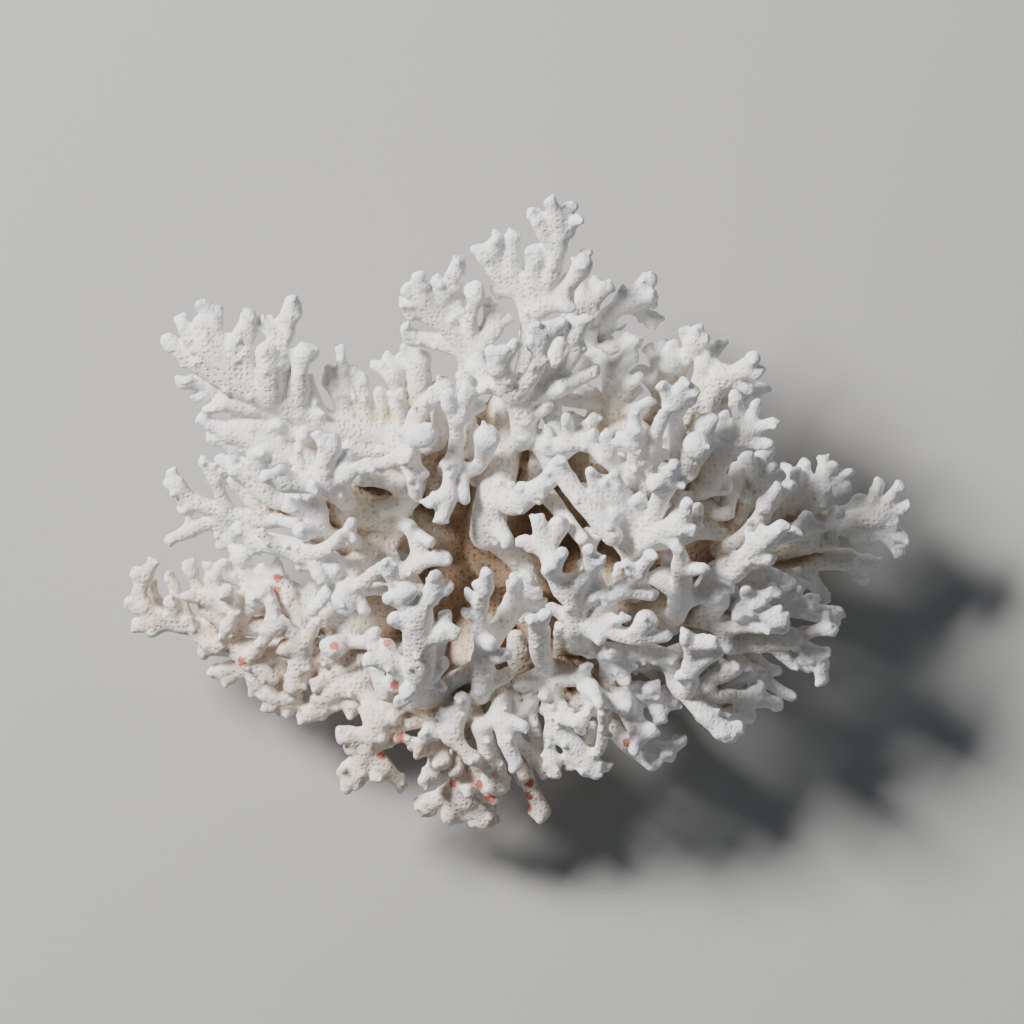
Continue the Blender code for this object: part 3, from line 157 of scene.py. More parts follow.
# Boughs: start radius, end radius, then (x, y, height) from the trunk outwards
BOUGHS = {
    "north_bough": (9.0, 7.0, (500, 560, 16), (495, 510, 30), (500, 455, 40), (515, 410, 50)),
    "northwest_bough": (9.0, 7.0, (485, 530, 16), (445, 480, 32), (405, 440, 44)),
    "west_bough": (9.0, 7.0, (478, 548, 14), (420, 525, 28), (345, 505, 38)),
    "southwest_bough": (9.0, 7.0, (480, 570, 14), (425, 605, 24), (350, 625, 30)),
    "south_bough": (9.0, 7.0, (495, 580, 14), (478, 645, 26), (462, 700, 34)),
    "southeast_bough": (9.0, 7.0, (522, 575, 14), (560, 635, 30), (600, 690, 38)),
    "east_bough": (9.0, 7.0, (535, 560, 15), (600, 585, 34), (665, 610, 44)),
    "northeast_bough": (9.0, 7.0, (530, 532, 16), (580, 490, 36), (630, 445, 52)),
    "far_east_bough": (7.5, 6.0, (540, 552, 12), (640, 560, 26), (740, 545, 30), (800, 532, 32)),
}

# Sprays: what each grows on, its limbs as above, and the outer ends of its fingers as (x, y, height) with a
# fourth number where the end isn't as thick as most
SPRAYS = {
    "north_crown": (
        "north_bough",
        (
            (3.0, 2.9, (520, 395, 50), (530, 350, 56), (531, 318, 61)),
            (2.5, 2.1, (531, 318, 61), (545, 306, 64), (562, 305, 65)),
            (2.7, 2.5, (531, 318, 61), (522, 292, 62), (512, 272, 63)),
            (2.9, 2.7, (540, 300, 63), (553, 270, 67), (558, 240, 70), (556, 222, 72)),
            (2.4, 2.2, (556, 300, 64), (570, 285, 66), (580, 272, 67)),
            (2.2, 1.8, (510, 280, 62), (498, 262, 64), (495, 248, 66)),
            (1.9, 1.6, (510, 290, 62), (494, 273, 64), (485, 258, 65)),
            (2.6, 2.2, (535, 298, 63), (534, 275, 66), (536, 260, 68)),
            (2.0, 1.8, (556, 252, 69), (543, 236, 71), (538, 222, 72)),
        ),
        (
            (549, 203, 75, 1.7), (531, 214, 73, 1.4), (573, 207, 70, 1.4), (580, 222, 73),
            (572, 236, 71), (499, 237, 68, 1.5), (478, 249, 66, 1.4), (513, 236, 68, 1.7),
            (529, 252, 69, 1.5), (540, 251, 69), (494, 291, 58, 1.4), (584, 264, 70, 2.6),
            (572, 311, 65, 1.4),
        ),
    ),
    "north_low": (
        "north_bough",
        (
            (2.8, 2.1, (535, 365, 38), (562, 325, 36), (590, 300, 34)),
        ),
        (
            (577, 257, 34), (598, 278, 33), (612, 284, 34), (623, 327, 34), (522, 330, 36),
        ),
    ),
    "north_wing": (
        "north_bough",
        (
            (2.5, 2.4, (590, 352, 46), (606, 318, 52), (632, 300, 55)),
            (2.4, 1.7, (585, 358, 50), (605, 350, 52), (628, 343, 54)),
            (1.9, 1.5, (622, 306, 54), (641, 312, 51), (652, 319, 49)),
            (2.0, 1.8, (600, 404, 50), (578, 401, 52), (564, 400, 53)),
        ),
        (
            (644, 279, 58, 1.6), (654, 277, 58, 1.4), (654, 296, 58, 1.8), (655, 305, 54),
            (621, 291, 56), (609, 322, 54, 1.1), (592, 328, 54, 1.2), (638, 341, 55, 1.3),
            (656, 324, 48, 1.3),
        ),
    ),
    "north_heart": (
        "north_bough",
        (
            (3.2, 2.7, (522, 440, 56), (520, 412, 61), (508, 386, 67), (499, 368, 71)),
            (2.4, 1.8, (514, 395, 66), (531, 378, 68), (539, 358, 70), (535, 336, 72)),
            (2.7, 1.8, (520, 402, 62), (540, 394, 63), (556, 390, 64)),
            (2.2, 2.0, (540, 385, 60), (562, 370, 63), (576, 352, 66), (573, 338, 68)),
            (2.4, 2.0, (520, 408, 63), (527, 420, 63)),
            (2.0, 1.7, (556, 442, 58), (553, 420, 58), (556, 404, 58)),
            (1.8, 1.6, (486, 384, 64), (481, 362, 62), (480, 348, 62)),
            (2.2, 2.0, (548, 378, 60), (556, 352, 60), (560, 345, 60)),
        ),
        (
            (489, 351, 74, 1.4), (503, 349, 75, 1.4), (517, 343, 75, 1.4), (528, 345, 73, 1.2),
            (535, 326, 74, 1.4), (551, 326, 72, 1.2), (543, 331, 72, 1.0), (527, 434, 60, 2.6),
            (550, 407, 63), (548, 430, 61, 1.2), (565, 390, 66, 1.4), (562, 323, 71, 1.4),
            (571, 321, 70, 1.1), (586, 318, 71, 1.4), (547, 362, 65, 1.1), (470, 366, 62, 1.2),
        ),
    ),
    "northeast_inner": (
        "northeast_bough",
        (
            (3.1, 2.8, (612, 440, 48), (613, 400, 52), (612, 370, 55)),
        ),
        (
            (594, 393, 48), (580, 385, 46), (588, 417, 50), (566, 416, 52), (637, 341, 58),
            (634, 357, 58), (641, 378, 57), (652, 401, 56), (603, 362, 56), (592, 352, 54, 1.9),
        ),
    ),
    "northeast_gall": (
        "northeast_bough",
        (
            (3.1, 2.5, (655, 420, 40), (662, 385, 44), (668, 365, 48)),
            (2.5, 2.1, (672, 385, 44), (683, 362, 48), (695, 345, 52)),
        ),
        (
            (671, 358, 51, 3.8), (661, 341, 44), (648, 346, 42), (641, 370, 42), (682, 330, 52),
            (697, 328, 54, 1.7), (707, 337, 54), (671, 343, 50), (707, 350, 52),
        ),
    ),
    "northeast_wing": (
        "northeast_bough",
        (
            (3.4, 2.8, (692, 435, 46), (708, 400, 50), (722, 375, 54)),
            (2.5, 2.0, (722, 378, 54), (742, 370, 56)),
            (2.8, 2.2, (716, 512, 48), (731, 490, 48), (738, 466, 48)),
            (1.8, 1.6, (690, 410, 50), (696, 385, 51), (703, 366, 52)),
        ),
        (
            (723, 342, 46), (715, 346, 45), (755, 358, 60, 1.7), (760, 374, 58), (750, 392, 54, 1.4),
            (766, 386, 46),
        ),
    ),
    "northeast_fork": (
        "northeast_bough",
        (
            (2.5, 2.3, (674, 450, 62), (673, 425, 69), (671, 405, 74)),
        ),
        (
            (660, 385, 78, 1.4), (683, 383, 79, 1.7), (692, 390, 78, 1.7), (685, 407, 72, 1.1),
            (693, 398, 76, 1.4),
        ),
    ),
    "east_top": (
        "northeast_bough",
        (
            (3.7, 3.1, (695, 488, 52), (718, 460, 58), (742, 430, 63)),
            (2.4, 1.9, (738, 482, 46), (758, 462, 46), (769, 450, 47)),
            (2.2, 1.9, (745, 490, 44), (768, 482, 43), (779, 476, 43)),
        ),
        (
            (731, 394, 68), (756, 403, 66, 1.2), (752, 418, 66), (774, 425, 68), (770, 446, 64, 1.6),
            (722, 414, 62), (728, 484, 52, 3.2),
        ),
    ),
    "east_gall": (
        "northeast_bough",
        (
            (2.9, 2.5, (680, 475, 58), (690, 455, 66), (700, 430, 68)),
        ),
        (
            (696, 444, 74, 3.6), (705, 420, 71, 2.6), (667, 434, 64, 2.6), (711, 417, 72),
            (714, 438, 68), (725, 428, 62),
        ),
    ),
    "center_forks": (
        "northeast_bough",
        (
            (3.0, 2.7, (640, 500, 60), (646, 470, 66), (649, 446, 70)),
            (2.5, 2.1, (630, 485, 64), (635, 457, 70), (632, 440, 73)),
            (2.2, 2.0, (622, 478, 64), (611, 462, 68), (608, 453, 70)),
        ),
        (
            (635, 412, 77, 1.4), (664, 413, 77, 1.6), (632, 428, 77, 1.8), (603, 434, 73, 1.3),
            (617, 437, 73, 1.4), (658, 440, 70, 1.2),
        ),
    ),
    "center_ridge": (
        "north_bough",
        (
            (2.3, 2.3, (549, 447, 59), (572, 442, 64), (592, 446, 65), (606, 460, 66), (626, 468, 66)),
        ),
        (
            (566, 416, 68, 1.3), (595, 431, 68, 1.3), (548, 443, 63, 1.4),
        ),
    ),
    "center_arc": (
        "north_bough",
        (
            (5.0, 4.4, (508, 425, 50), (500, 468, 52), (491, 508, 52), (487, 533, 49)),
            (3.5, 2.4, (512, 503, 58), (530, 494, 62), (546, 482, 66), (558, 467, 69)),
            (2.4, 2.7, (558, 467, 69), (572, 488, 69), (592, 512, 70), (612, 536, 70)),
            (2.0, 1.8, (536, 482, 50), (535, 462, 52), (537, 450, 53)),
            (3.4, 2.8, (520, 560, 42), (530, 590, 42), (526, 612, 43)),
        ),
        (
            (562, 459, 72, 1.4), (509, 542, 56, 1.7), (519, 487, 64, 1.4), (548, 470, 70, 1.2),
        ),
    ),
    "great_palm": (
        "east_bough",
        (
            (3.2, 2.9, (636, 585, 54), (632, 556, 62)),
            (2.5, 2.2, (630, 552, 63), (608, 520, 66), (598, 494, 69)),
            (2.5, 2.4, (632, 550, 63), (628, 520, 66), (618, 492, 69)),
            (2.7, 2.5, (636, 550, 64), (652, 518, 68), (660, 494, 74), (667, 481, 77)),
            (2.5, 2.2, (638, 548, 65), (662, 531, 70), (678, 528, 72)),
            (2.0, 1.8, (688, 536, 62), (694, 518, 63), (696, 508, 63)),
            (2.2, 2.0, (626, 548, 63), (600, 515, 64), (583, 490, 65)),
            (2.0, 1.8, (634, 540, 64), (618, 512, 67), (610, 496, 69)),
            (2.0, 1.8, (648, 540, 65), (642, 516, 67), (638, 502, 69)),
        ),
        (
            (588, 469, 73, 1.5), (603, 478, 72, 1.4), (613, 473, 73, 1.5), (612, 515, 71, 1.3),
            (636, 498, 72, 1.8), (651, 482, 80, 2.6), (673, 463, 84, 1.7), (664, 472, 82, 1.5),
            (683, 482, 79, 1.7), (686, 500, 77, 1.7), (694, 530, 74, 1.5), (675, 545, 71, 1.5),
        ),
    ),
    "cup": (
        "southeast_bough",
        (
            (3.4, 3.0, (580, 640, 50), (576, 610, 58), (572, 588, 64)),
            (1.8, 1.7, (572, 588, 64), (558, 578, 67), (551, 570, 69)),
            (1.8, 1.8, (572, 588, 64), (588, 572, 69), (592, 563, 72)),
            (2.2, 2.0, (560, 590, 62), (550, 565, 65), (545, 547, 67)),
            (2.2, 2.0, (575, 600, 60), (588, 560, 60), (586, 535, 60)),
            (2.2, 2.0, (590, 570, 64), (600, 590, 62), (605, 600, 60)),
        ),
        (
            (546, 567, 73, 1.4), (563, 550, 77, 1.3), (588, 547, 79, 1.5), (599, 560, 77, 1.5),
            (518, 540, 68, 1.7), (536, 517, 70, 1.7), (562, 520, 68, 2.6), (597, 533, 62, 1.5),
            (604, 590, 64, 1.5),
        ),
    ),
    "east_fork": (
        "southeast_bough",
        (
            (2.4, 2.2, (575, 630, 54), (598, 618, 57), (615, 632, 59), (640, 636, 60)),
            (1.8, 1.5, (600, 606, 60), (622, 588, 66), (637, 571, 71)),
            (2.2, 2.0, (612, 652, 50), (640, 652, 51), (664, 658, 49), (676, 682, 46)),
            (1.0, 0.9, (607, 597, 60), (616, 583, 62), (618, 565, 62)),
        ),
        (
            (624, 562, 74, 1.1), (651, 553, 78, 1.3), (667, 636, 61, 1.3), (610, 655, 57, 1.3),
            (624, 617, 64, 1.1), (648, 615, 64, 2.9), (671, 657, 54, 1.4), (631, 669, 50, 1.5),
            (679, 697, 44, 1.3), (601, 640, 60, 1.4),
        ),
    ),
    "east_heart": (
        "east_bough",
        (
            (2.9, 2.5, (675, 615, 52), (681, 590, 59), (680, 566, 66)),
        ),
        (
            (677, 546, 72, 1.7), (704, 568, 70, 1.3), (657, 572, 58, 3.1), (668, 553, 56, 1.8),
            (672, 598, 58, 1.5), (684, 604, 57, 1.3),
        ),
    ),
    "east_bright": (
        "east_bough",
        (
            (2.5, 2.5, (700, 590, 52), (714, 570, 58), (733, 562, 63)),
            (2.9, 2.4, (733, 572, 62), (748, 552, 67), (762, 540, 70)),
        ),
        (
            (780, 524, 74, 1.7), (797, 534, 66, 1.5), (771, 560, 68, 1.7), (747, 534, 70, 1.2),
            (730, 588, 62, 1.4), (758, 528, 71, 1.4),
        ),
    ),
    "east_finger": (
        "far_east_bough",
        (
            (2.9, 2.2, (735, 545, 46), (755, 525, 50), (766, 505, 54)),
            (2.8, 2.4, (732, 530, 42), (745, 500, 44), (760, 478, 45)),
            (2.9, 2.4, (722, 535, 42), (708, 512, 44), (700, 497, 46)),
            (2.4, 2.0, (735, 583, 46), (762, 573, 46), (790, 584, 44)),
        ),
        (
            (777, 487, 58, 1.4), (759, 502, 54, 1.1), (792, 483, 54), (775, 465, 46),
            (745, 455, 50, 1.9),
        ),
    ),
    "far_east_upper": (
        "far_east_bough",
        (
            (3.4, 3.1, (760, 530, 34), (800, 500, 34), (825, 485, 35)),
            (1.9, 1.7, (800, 516, 34), (815, 506, 35), (822, 500, 36)),
        ),
        (
            (806, 461, 34), (826, 457, 36), (834, 463, 40), (853, 471, 40), (850, 486, 38),
            (841, 493, 36), (789, 466, 34), (797, 471, 38),
        ),
    ),
    "far_east_tip": (
        "far_east_bough",
        (
            (3.4, 3.4, (800, 535, 30), (845, 520, 30), (880, 515, 32)),
            (2.5, 2.2, (790, 535, 36), (803, 527, 39)),
        ),
        (
            (882, 480, 36, 1.4), (902, 484, 36, 1.4), (916, 504, 34), (911, 543, 30), (904, 554, 28),
            (899, 525, 32), (862, 496, 28), (873, 500, 30, 1.7), (877, 544, 28, 1.7), (838, 508, 34),
            (808, 515, 42), (823, 526, 42),
        ),
    ),
    "far_east_lower": (
        "far_east_bough",
        (
            (3.1, 2.8, (780, 560, 28), (820, 560, 26), (850, 560, 25)),
            (1.9, 1.7, (800, 548, 32), (822, 545, 32), (835, 543, 31)),
        ),
        (
            (883, 563, 22), (868, 584, 20), (829, 602, 22, 1.7), (805, 590, 24),
        ),
    ),
    "east_low_cluster": (
        "east_bough",
        (
            (2.5, 2.2, (735, 625, 50), (742, 605, 56), (752, 600, 58)),
            (2.5, 2.2, (752, 606, 56), (766, 613, 57), (776, 619, 57)),
        ),
        (
            (722, 590, 60, 2.6), (723, 601, 58, 1.4), (738, 617, 56, 1.4), (757, 600, 60, 1.4),
            (745, 588, 62, 1.4), (784, 618, 58, 1.5), (785, 629, 54, 1.4), (768, 628, 56, 1.4),
            (776, 589, 58, 1.2), (755, 613, 58, 1.2),
        ),
    ),
    "southeast_star": (
        "east_bough",
        (
            (3.4, 3.1, (715, 640, 36), (755, 640, 42), (790, 638, 46)),
            (2.2, 1.8, (750, 590, 44), (770, 600, 45), (790, 608, 46), (810, 602, 48)),
            (2.0, 1.7, (795, 640, 44), (812, 655, 43), (822, 664, 42)),
            (1.8, 1.6, (800, 635, 45), (816, 630, 46), (826, 628, 47)),
        ),
        (
            (812, 601, 50, 1.4), (826, 616, 46), (834, 631, 48), (828, 652, 44), (822, 684, 42),
            (796, 668, 42), (804, 669, 40), (843, 612, 34), (839, 624, 34), (773, 588, 50),
            (788, 590, 48),
        ),
    ),
    "southeast_long": (
        "southeast_bough",
        (
            (2.9, 2.4, (660, 660, 42), (684, 690, 46), (703, 712, 47), (722, 730, 46)),
            (2.4, 1.7, (700, 700, 42), (728, 696, 40), (760, 699, 38)),
            (2.2, 1.8, (700, 690, 42), (715, 676, 42), (725, 673, 43)),
            (2.0, 1.8, (715, 715, 43), (735, 713, 38)),
        ),
        (
            (734, 738, 46, 1.5), (743, 729, 46, 1.4), (710, 718, 47, 1.5), (762, 684, 39, 1.4),
            (782, 704, 36, 1.5), (753, 715, 35, 1.7), (740, 668, 44, 1.7), (728, 664, 40, 1.4),
            (715, 663, 38, 1.4), (710, 659, 47, 1.3),
        ),
    ),
    "southeast_upright": (
        "southeast_long",
        (
            (2.0, 1.8, (688, 690, 50), (690, 665, 57), (688, 640, 63)),
            (1.8, 1.7, (690, 645, 62), (702, 641, 64)),
        ),
        (
            (714, 643, 66, 1.5), (683, 631, 66, 1.4), (720, 651, 60, 1.3), (676, 674, 56, 1.4),
            (698, 668, 58, 1.4),
        ),
    ),
    "southeast_low": (
        "southeast_star",
        (
            (2.6, 2.2, (735, 640, 30), (765, 670, 28)),
            (1.9, 1.6, (748, 668, 33), (770, 684, 32), (792, 697, 31)),
            (1.7, 1.5, (718, 690, 37), (738, 682, 37), (752, 672, 37)),
        ),
        (
            (781, 672, 26),
        ),
    ),
    "south_right": (
        "southeast_bough",
        (
            (2.5, 2.2, (604, 690, 42), (608, 668, 46), (606, 657, 49)),
            (2.7, 2.5, (606, 690, 42), (625, 704, 44), (632, 718, 43), (640, 732, 43)),
            (2.2, 1.8, (632, 700, 42), (647, 691, 44)),
            (2.6, 2.2, (606, 708, 37), (617, 732, 37), (632, 747, 37)),
            (2.0, 1.7, (674, 704, 40), (663, 691, 41)),
            (2.2, 1.9, (640, 735, 38), (655, 748, 37), (665, 752, 37)),
        ),
        (
            (657, 684, 46, 1.4), (658, 696, 44, 1.4), (663, 705, 40, 1.4), (662, 722, 42, 1.5),
            (684, 741, 34, 1.4), (670, 757, 38, 1.4), (655, 768, 38, 1.7), (633, 753, 44, 1.5),
            (655, 732, 46, 1.8), (637, 684, 44, 1.2), (625, 703, 48, 2.9), (602, 656, 52, 1.1),
            (612, 650, 54, 1.3),
        ),
    ),
    "south_rods": (
        "southeast_bough",
        (
            (2.9, 2.5, (560, 658, 40), (552, 690, 42), (555, 722, 42), (572, 745, 41)),
            (2.7, 2.2, (572, 745, 41), (588, 764, 40)),
            (1.4, 1.3, (598, 752, 42), (603, 728, 48), (601, 712, 54)),
            (2.5, 2.9, (548, 672, 42), (540, 650, 52), (539, 630, 60)),
            (2.2, 2.0, (520, 684, 42), (545, 676, 43), (568, 679, 44), (583, 677, 45)),
            (1.6, 1.4, (585, 680, 46), (591, 698, 47), (586, 715, 47), (570, 722, 46), (560, 719, 45)),
            (1.7, 1.6, (548, 735, 41), (552, 760, 40)),
            (2.2, 1.8, (535, 685, 40), (532, 698, 39)),
            (1.9, 1.7, (566, 713, 40), (575, 702, 40)),
            (1.9, 1.7, (586, 748, 37), (592, 728, 39)),
        ),
        (
            (598, 778, 40, 1.7), (609, 769, 38, 1.4), (584, 775, 40, 1.5), (571, 768, 38, 1.4),
            (600, 704, 58, 1.4), (553, 777, 40, 1.6), (563, 745, 42, 1.3), (529, 711, 38, 1.6),
            (543, 713, 38, 1.5), (588, 665, 52, 1.2), (594, 684, 50, 0.9), (531, 617, 68, 1.7),
            (545, 612, 68, 1.7), (578, 731, 45, 1.0), (543, 697, 46, 1.4),
        ),
    ),
    "south_fan": (
        "south_bough",
        (
            (2.7, 2.4, (480, 695, 42), (482, 665, 48), (484, 640, 54)),
            (2.0, 1.7, (484, 640, 54), (480, 612, 59), (486, 586, 64)),
            (2.9, 2.5, (486, 650, 48), (502, 622, 51), (513, 600, 53)),
            (2.4, 2.2, (505, 625, 50), (522, 600, 52), (529, 590, 54)),
            (2.5, 2.2, (485, 668, 44), (462, 676, 43), (440, 690, 41), (414, 705, 38)),
        ),
        (
            (486, 570, 68, 1.4), (475, 582, 64, 1.1), (467, 592, 62, 1.2), (463, 611, 60, 1.1),
            (515, 577, 58, 1.4), (528, 573, 58, 1.5), (540, 590, 55, 1.5), (545, 603, 51, 1.4),
            (493, 645, 60, 1.7), (509, 654, 56, 1.5),
        ),
    ),
    "southwest_crown": (
        "southwest_bough",
        (
            (4.4, 4.0, (420, 672, 48), (420, 645, 57), (418, 612, 63)),
            (2.2, 1.8, (425, 640, 60), (443, 633, 62)),
            (1.8, 1.7, (405, 602, 64), (396, 584, 66), (391, 569, 69)),
            (2.4, 2.0, (425, 602, 65), (435, 589, 67)),
        ),
        (
            (390, 559, 71, 1.5), (437, 572, 70, 1.5), (451, 586, 66, 1.5), (386, 598, 66, 1.5),
            (392, 616, 64, 1.7), (438, 598, 66, 1.5), (455, 629, 64, 1.7), (445, 612, 62, 1.2),
            (409, 588, 69, 2.6),
        ),
    ),
    "southwest_palm": (
        "south_bough",
        (
            (3.2, 2.9, (425, 690, 44), (405, 670, 50), (385, 660, 53)),
            (2.7, 2.4, (425, 700, 40), (413, 692, 46)),
            (2.2, 1.8, (418, 690, 47), (432, 673, 51)),
            (2.5, 2.4, (440, 712, 36), (415, 705, 37), (400, 700, 37)),
            (1.8, 1.5, (390, 668, 44), (374, 647, 45)),
            (1.9, 1.7, (386, 694, 42), (378, 678, 43), (377, 668, 44)),
            (2.8, 2.4, (432, 718, 34), (408, 721, 34), (392, 726, 34)),
        ),
        (
            (366, 658, 55, 2.0), (405, 690, 53, 2.2), (446, 660, 54, 1.7), (373, 630, 46, 1.1),
            (390, 642, 46, 1.7), (396, 703, 48, 1.4), (387, 686, 45, 2.2),
        ),
    ),
    "south_tooth": (
        "south_bough",
        (
            (3.0, 3.0, (470, 700, 36), (455, 716, 42), (452, 735, 43)),
            (2.2, 1.7, (452, 735, 43), (464, 750, 43), (472, 758, 42)),
            (1.7, 1.5, (440, 730, 41), (427, 735, 42), (420, 747, 41)),
            (2.7, 2.5, (474, 712, 38), (484, 734, 41), (489, 758, 37)),
            (2.2, 1.8, (487, 752, 38), (496, 770, 35)),
            (1.6, 1.4, (440, 738, 36), (433, 758, 34), (431, 776, 33)),
            (2.2, 1.9, (476, 768, 32), (481, 788, 30), (494, 800, 29)),
            (2.4, 2.0, (452, 728, 38), (448, 705, 39), (446, 696, 40)),
        ),
        (
            (416, 754, 40, 1.5), (478, 763, 43, 1.4), (462, 696, 47, 1.9), (426, 727, 43, 1.5),
            (440, 714, 44, 1.5), (438, 768, 38, 1.7), (447, 764, 38, 1.5), (421, 784, 34, 1.7),
            (483, 726, 44, 2.4), (490, 793, 32, 1.5), (506, 792, 32, 1.5), (484, 772, 37, 1.4),
        ),
    ),
    "south_finger": (
        "south_bough",
        (
            (2.5, 2.2, (498, 690, 40), (501, 715, 43), (507, 742, 44)),
            (1.8, 1.7, (510, 735, 38), (532, 756, 36), (545, 768, 35)),
            (2.0, 2.2, (512, 750, 32), (525, 780, 29)),
            (2.2, 2.3, (521, 768, 30), (532, 792, 27), (540, 812, 25)),
            (2.8, 2.4, (522, 684, 34), (517, 658, 36), (517, 640, 37)),
            (2.2, 2.0, (516, 712, 38), (510, 690, 39)),
            (2.4, 2.0, (528, 712, 37), (536, 736, 36), (541, 750, 35)),
        ),
        (
            (517, 768, 43, 1.4), (527, 727, 46, 1.6), (551, 775, 34, 1.4), (541, 818, 24, 2.7),
        ),
    ),
    "south_wedge": (
        "south_bough",
        (
            (2.9, 3.1, (465, 745, 28), (460, 780, 28), (465, 802, 26)),
            (2.0, 1.8, (452, 808, 25), (470, 818, 23), (490, 824, 22)),
            (2.4, 2.1, (456, 788, 27), (440, 799, 25), (424, 807, 23)),
            (2.4, 2.1, (464, 792, 27), (472, 810, 25), (484, 823, 23)),
            (2.2, 2.0, (460, 795, 27), (454, 808, 25), (450, 818, 23)),
            (2.0, 1.8, (470, 788, 27), (482, 802, 26), (492, 812, 24)),
        ),
        (
            (413, 805, 22), (428, 817, 20, 1.7), (497, 822, 20, 1.7), (482, 829, 20, 1.7),
            (470, 795, 34, 1.6), (455, 775, 36, 1.7), (455, 822, 21, 1.5),
        ),
    ),
    "southwest_foot": (
        "south_bough",
        (
            (3.0, 2.9, (395, 705, 34), (378, 722, 36), (372, 738, 34)),
            (2.0, 2.0, (380, 738, 34), (360, 736, 34), (347, 736, 34)),
            (2.7, 2.5, (372, 738, 33), (362, 758, 31), (360, 772, 29)),
            (1.3, 1.2, (385, 745, 33), (400, 739, 34), (415, 743, 34)),
            (2.4, 2.2, (370, 755, 31), (384, 770, 30)),
            (2.0, 1.8, (352, 765, 29), (346, 778, 28), (345, 790, 27)),
        ),
        (
            (338, 735, 34, 1.9), (346, 751, 32, 1.7), (345, 775, 29, 1.7), (352, 789, 28, 1.8),
            (378, 783, 31, 1.8), (404, 790, 26, 1.7), (384, 741, 36, 1.4), (392, 722, 38, 1.8),
            (364, 716, 36, 2.6),
        ),
    ),
    "southwest_low": (
        "southwest_bough",
        (
            (3.0, 2.9, (365, 676, 33), (340, 688, 31), (320, 699, 29)),
            (2.7, 2.5, (320, 655, 32), (298, 680, 29), (290, 697, 27)),
            (2.4, 2.2, (292, 694, 27), (272, 700, 26)),
            (2.2, 2.0, (360, 700, 30), (351, 706, 29)),
            (1.8, 1.6, (266, 675, 26), (278, 686, 26), (290, 684, 26)),
            (2.6, 2.0, (358, 660, 34), (338, 671, 32), (325, 680, 31)),
            (2.4, 2.0, (352, 690, 30), (330, 706, 28), (312, 712, 27)),
        ),
        (
            (265, 712, 24, 1.8), (284, 716, 24, 1.8), (301, 721, 24, 1.5), (318, 714, 26, 1.4),
            (350, 716, 28, 1.7), (262, 695, 28, 1.7), (313, 688, 33, 1.4), (374, 706, 34, 2.6),
            (290, 668, 27, 1.3), (268, 662, 27, 1.3),
        ),
    ),
    "southwest_arm": (
        "southwest_bough",
        (
            (3.4, 2.7, (335, 655, 33), (300, 650, 30), (262, 652, 31), (235, 648, 31), (212, 645, 30)),
            (1.8, 1.6, (253, 660, 29), (254, 685, 27)),
            (2.0, 1.8, (350, 642, 36), (368, 643, 38)),
            (1.9, 1.6, (218, 646, 33), (225, 631, 36), (230, 619, 38)),
            (1.9, 1.5, (243, 662, 33), (262, 642, 37), (278, 624, 41)),
            (2.2, 1.9, (238, 655, 32), (256, 668, 32), (270, 680, 31)),
            (1.8, 1.6, (210, 648, 32), (196, 636, 32), (188, 622, 33)),
            (1.8, 1.5, (300, 646, 36), (312, 632, 39), (316, 622, 41)),
        ),
        (
            (198, 655, 28, 1.7), (228, 620, 36, 1.5), (281, 622, 40, 1.4), (210, 675, 24, 1.7),
            (253, 696, 25, 1.7), (280, 648, 36, 2.2), (328, 650, 40, 3.0), (373, 631, 42, 1.1),
            (222, 682, 24, 1.5),
        ),
    ),
    "southwest_lace": (
        "southwest_bough",
        (
            (3.1, 2.8, (310, 615, 34), (265, 605, 35), (222, 606, 34)),
            (2.2, 2.1, (215, 603, 34), (210, 580, 34)),
            (2.7, 2.4, (300, 625, 32), (262, 628, 32), (228, 622, 32), (205, 610, 32)),
            (2.4, 1.9, (290, 608, 35), (282, 585, 36), (262, 570, 36)),
            (2.8, 2.4, (282, 592, 34), (248, 580, 33), (222, 572, 32)),
            (1.7, 1.4, (205, 605, 32), (196, 588, 32), (190, 572, 33)),
            (3.4, 2.8, (330, 618, 34), (300, 600, 33), (275, 598, 33)),
            (2.8, 2.4, (294, 610, 35), (299, 640, 35), (297, 665, 33), (291, 688, 31)),
            (2.0, 1.6, (262, 592, 38), (273, 608, 40), (266, 630, 39)),
            (1.8, 1.5, (240, 618, 35), (232, 602, 38), (226, 592, 40)),
            (1.7, 1.4, (250, 575, 34), (243, 562, 36), (240, 552, 37)),
        ),
        (
            (187, 563, 34), (187, 597, 30), (204, 566, 34), (225, 588, 36), (262, 590, 36),
            (245, 553, 36), (235, 548, 34, 1.6), (220, 562, 36), (250, 602, 40, 2.6),
            (277, 562, 38, 1.1), (183, 596, 37), (226, 590, 40), (262, 590, 41), (313, 586, 30, 3.1),
        ),
    ),
    "southwest_tip": (
        "southwest_arm",
        (
            (2.2, 2.1, (205, 630, 30), (175, 625, 30), (155, 620, 30)),
            (2.1, 1.8, (155, 620, 30), (138, 600, 31), (142, 578, 32)),
            (1.5, 1.3, (165, 612, 25), (153, 600, 25), (150, 582, 26)),
        ),
        (
            (132, 571, 32), (153, 561, 34), (166, 573, 32), (124, 602, 30, 1.6), (131, 628, 28, 1.6),
            (146, 634, 28, 1.6), (166, 599, 34), (171, 587, 28),
        ),
    ),
    "west_long": (
        "west_bough",
        (
            (2.9, 2.0, (260, 520, 36), (220, 510, 36), (190, 500, 36), (178, 487, 37)),
            (2.0, 1.8, (215, 520, 34), (190, 530, 34)),
            (2.0, 1.8, (225, 508, 37), (215, 480, 40)),
            (1.8, 1.7, (258, 506, 38), (252, 485, 41), (235, 470, 42)),
            (2.2, 1.9, (262, 508, 38), (243, 492, 38), (232, 480, 39)),
        ),
        (
            (170, 471, 38), (165, 484, 37, 1.1), (165, 541, 34), (178, 511, 34), (217, 548, 32, 1.4),
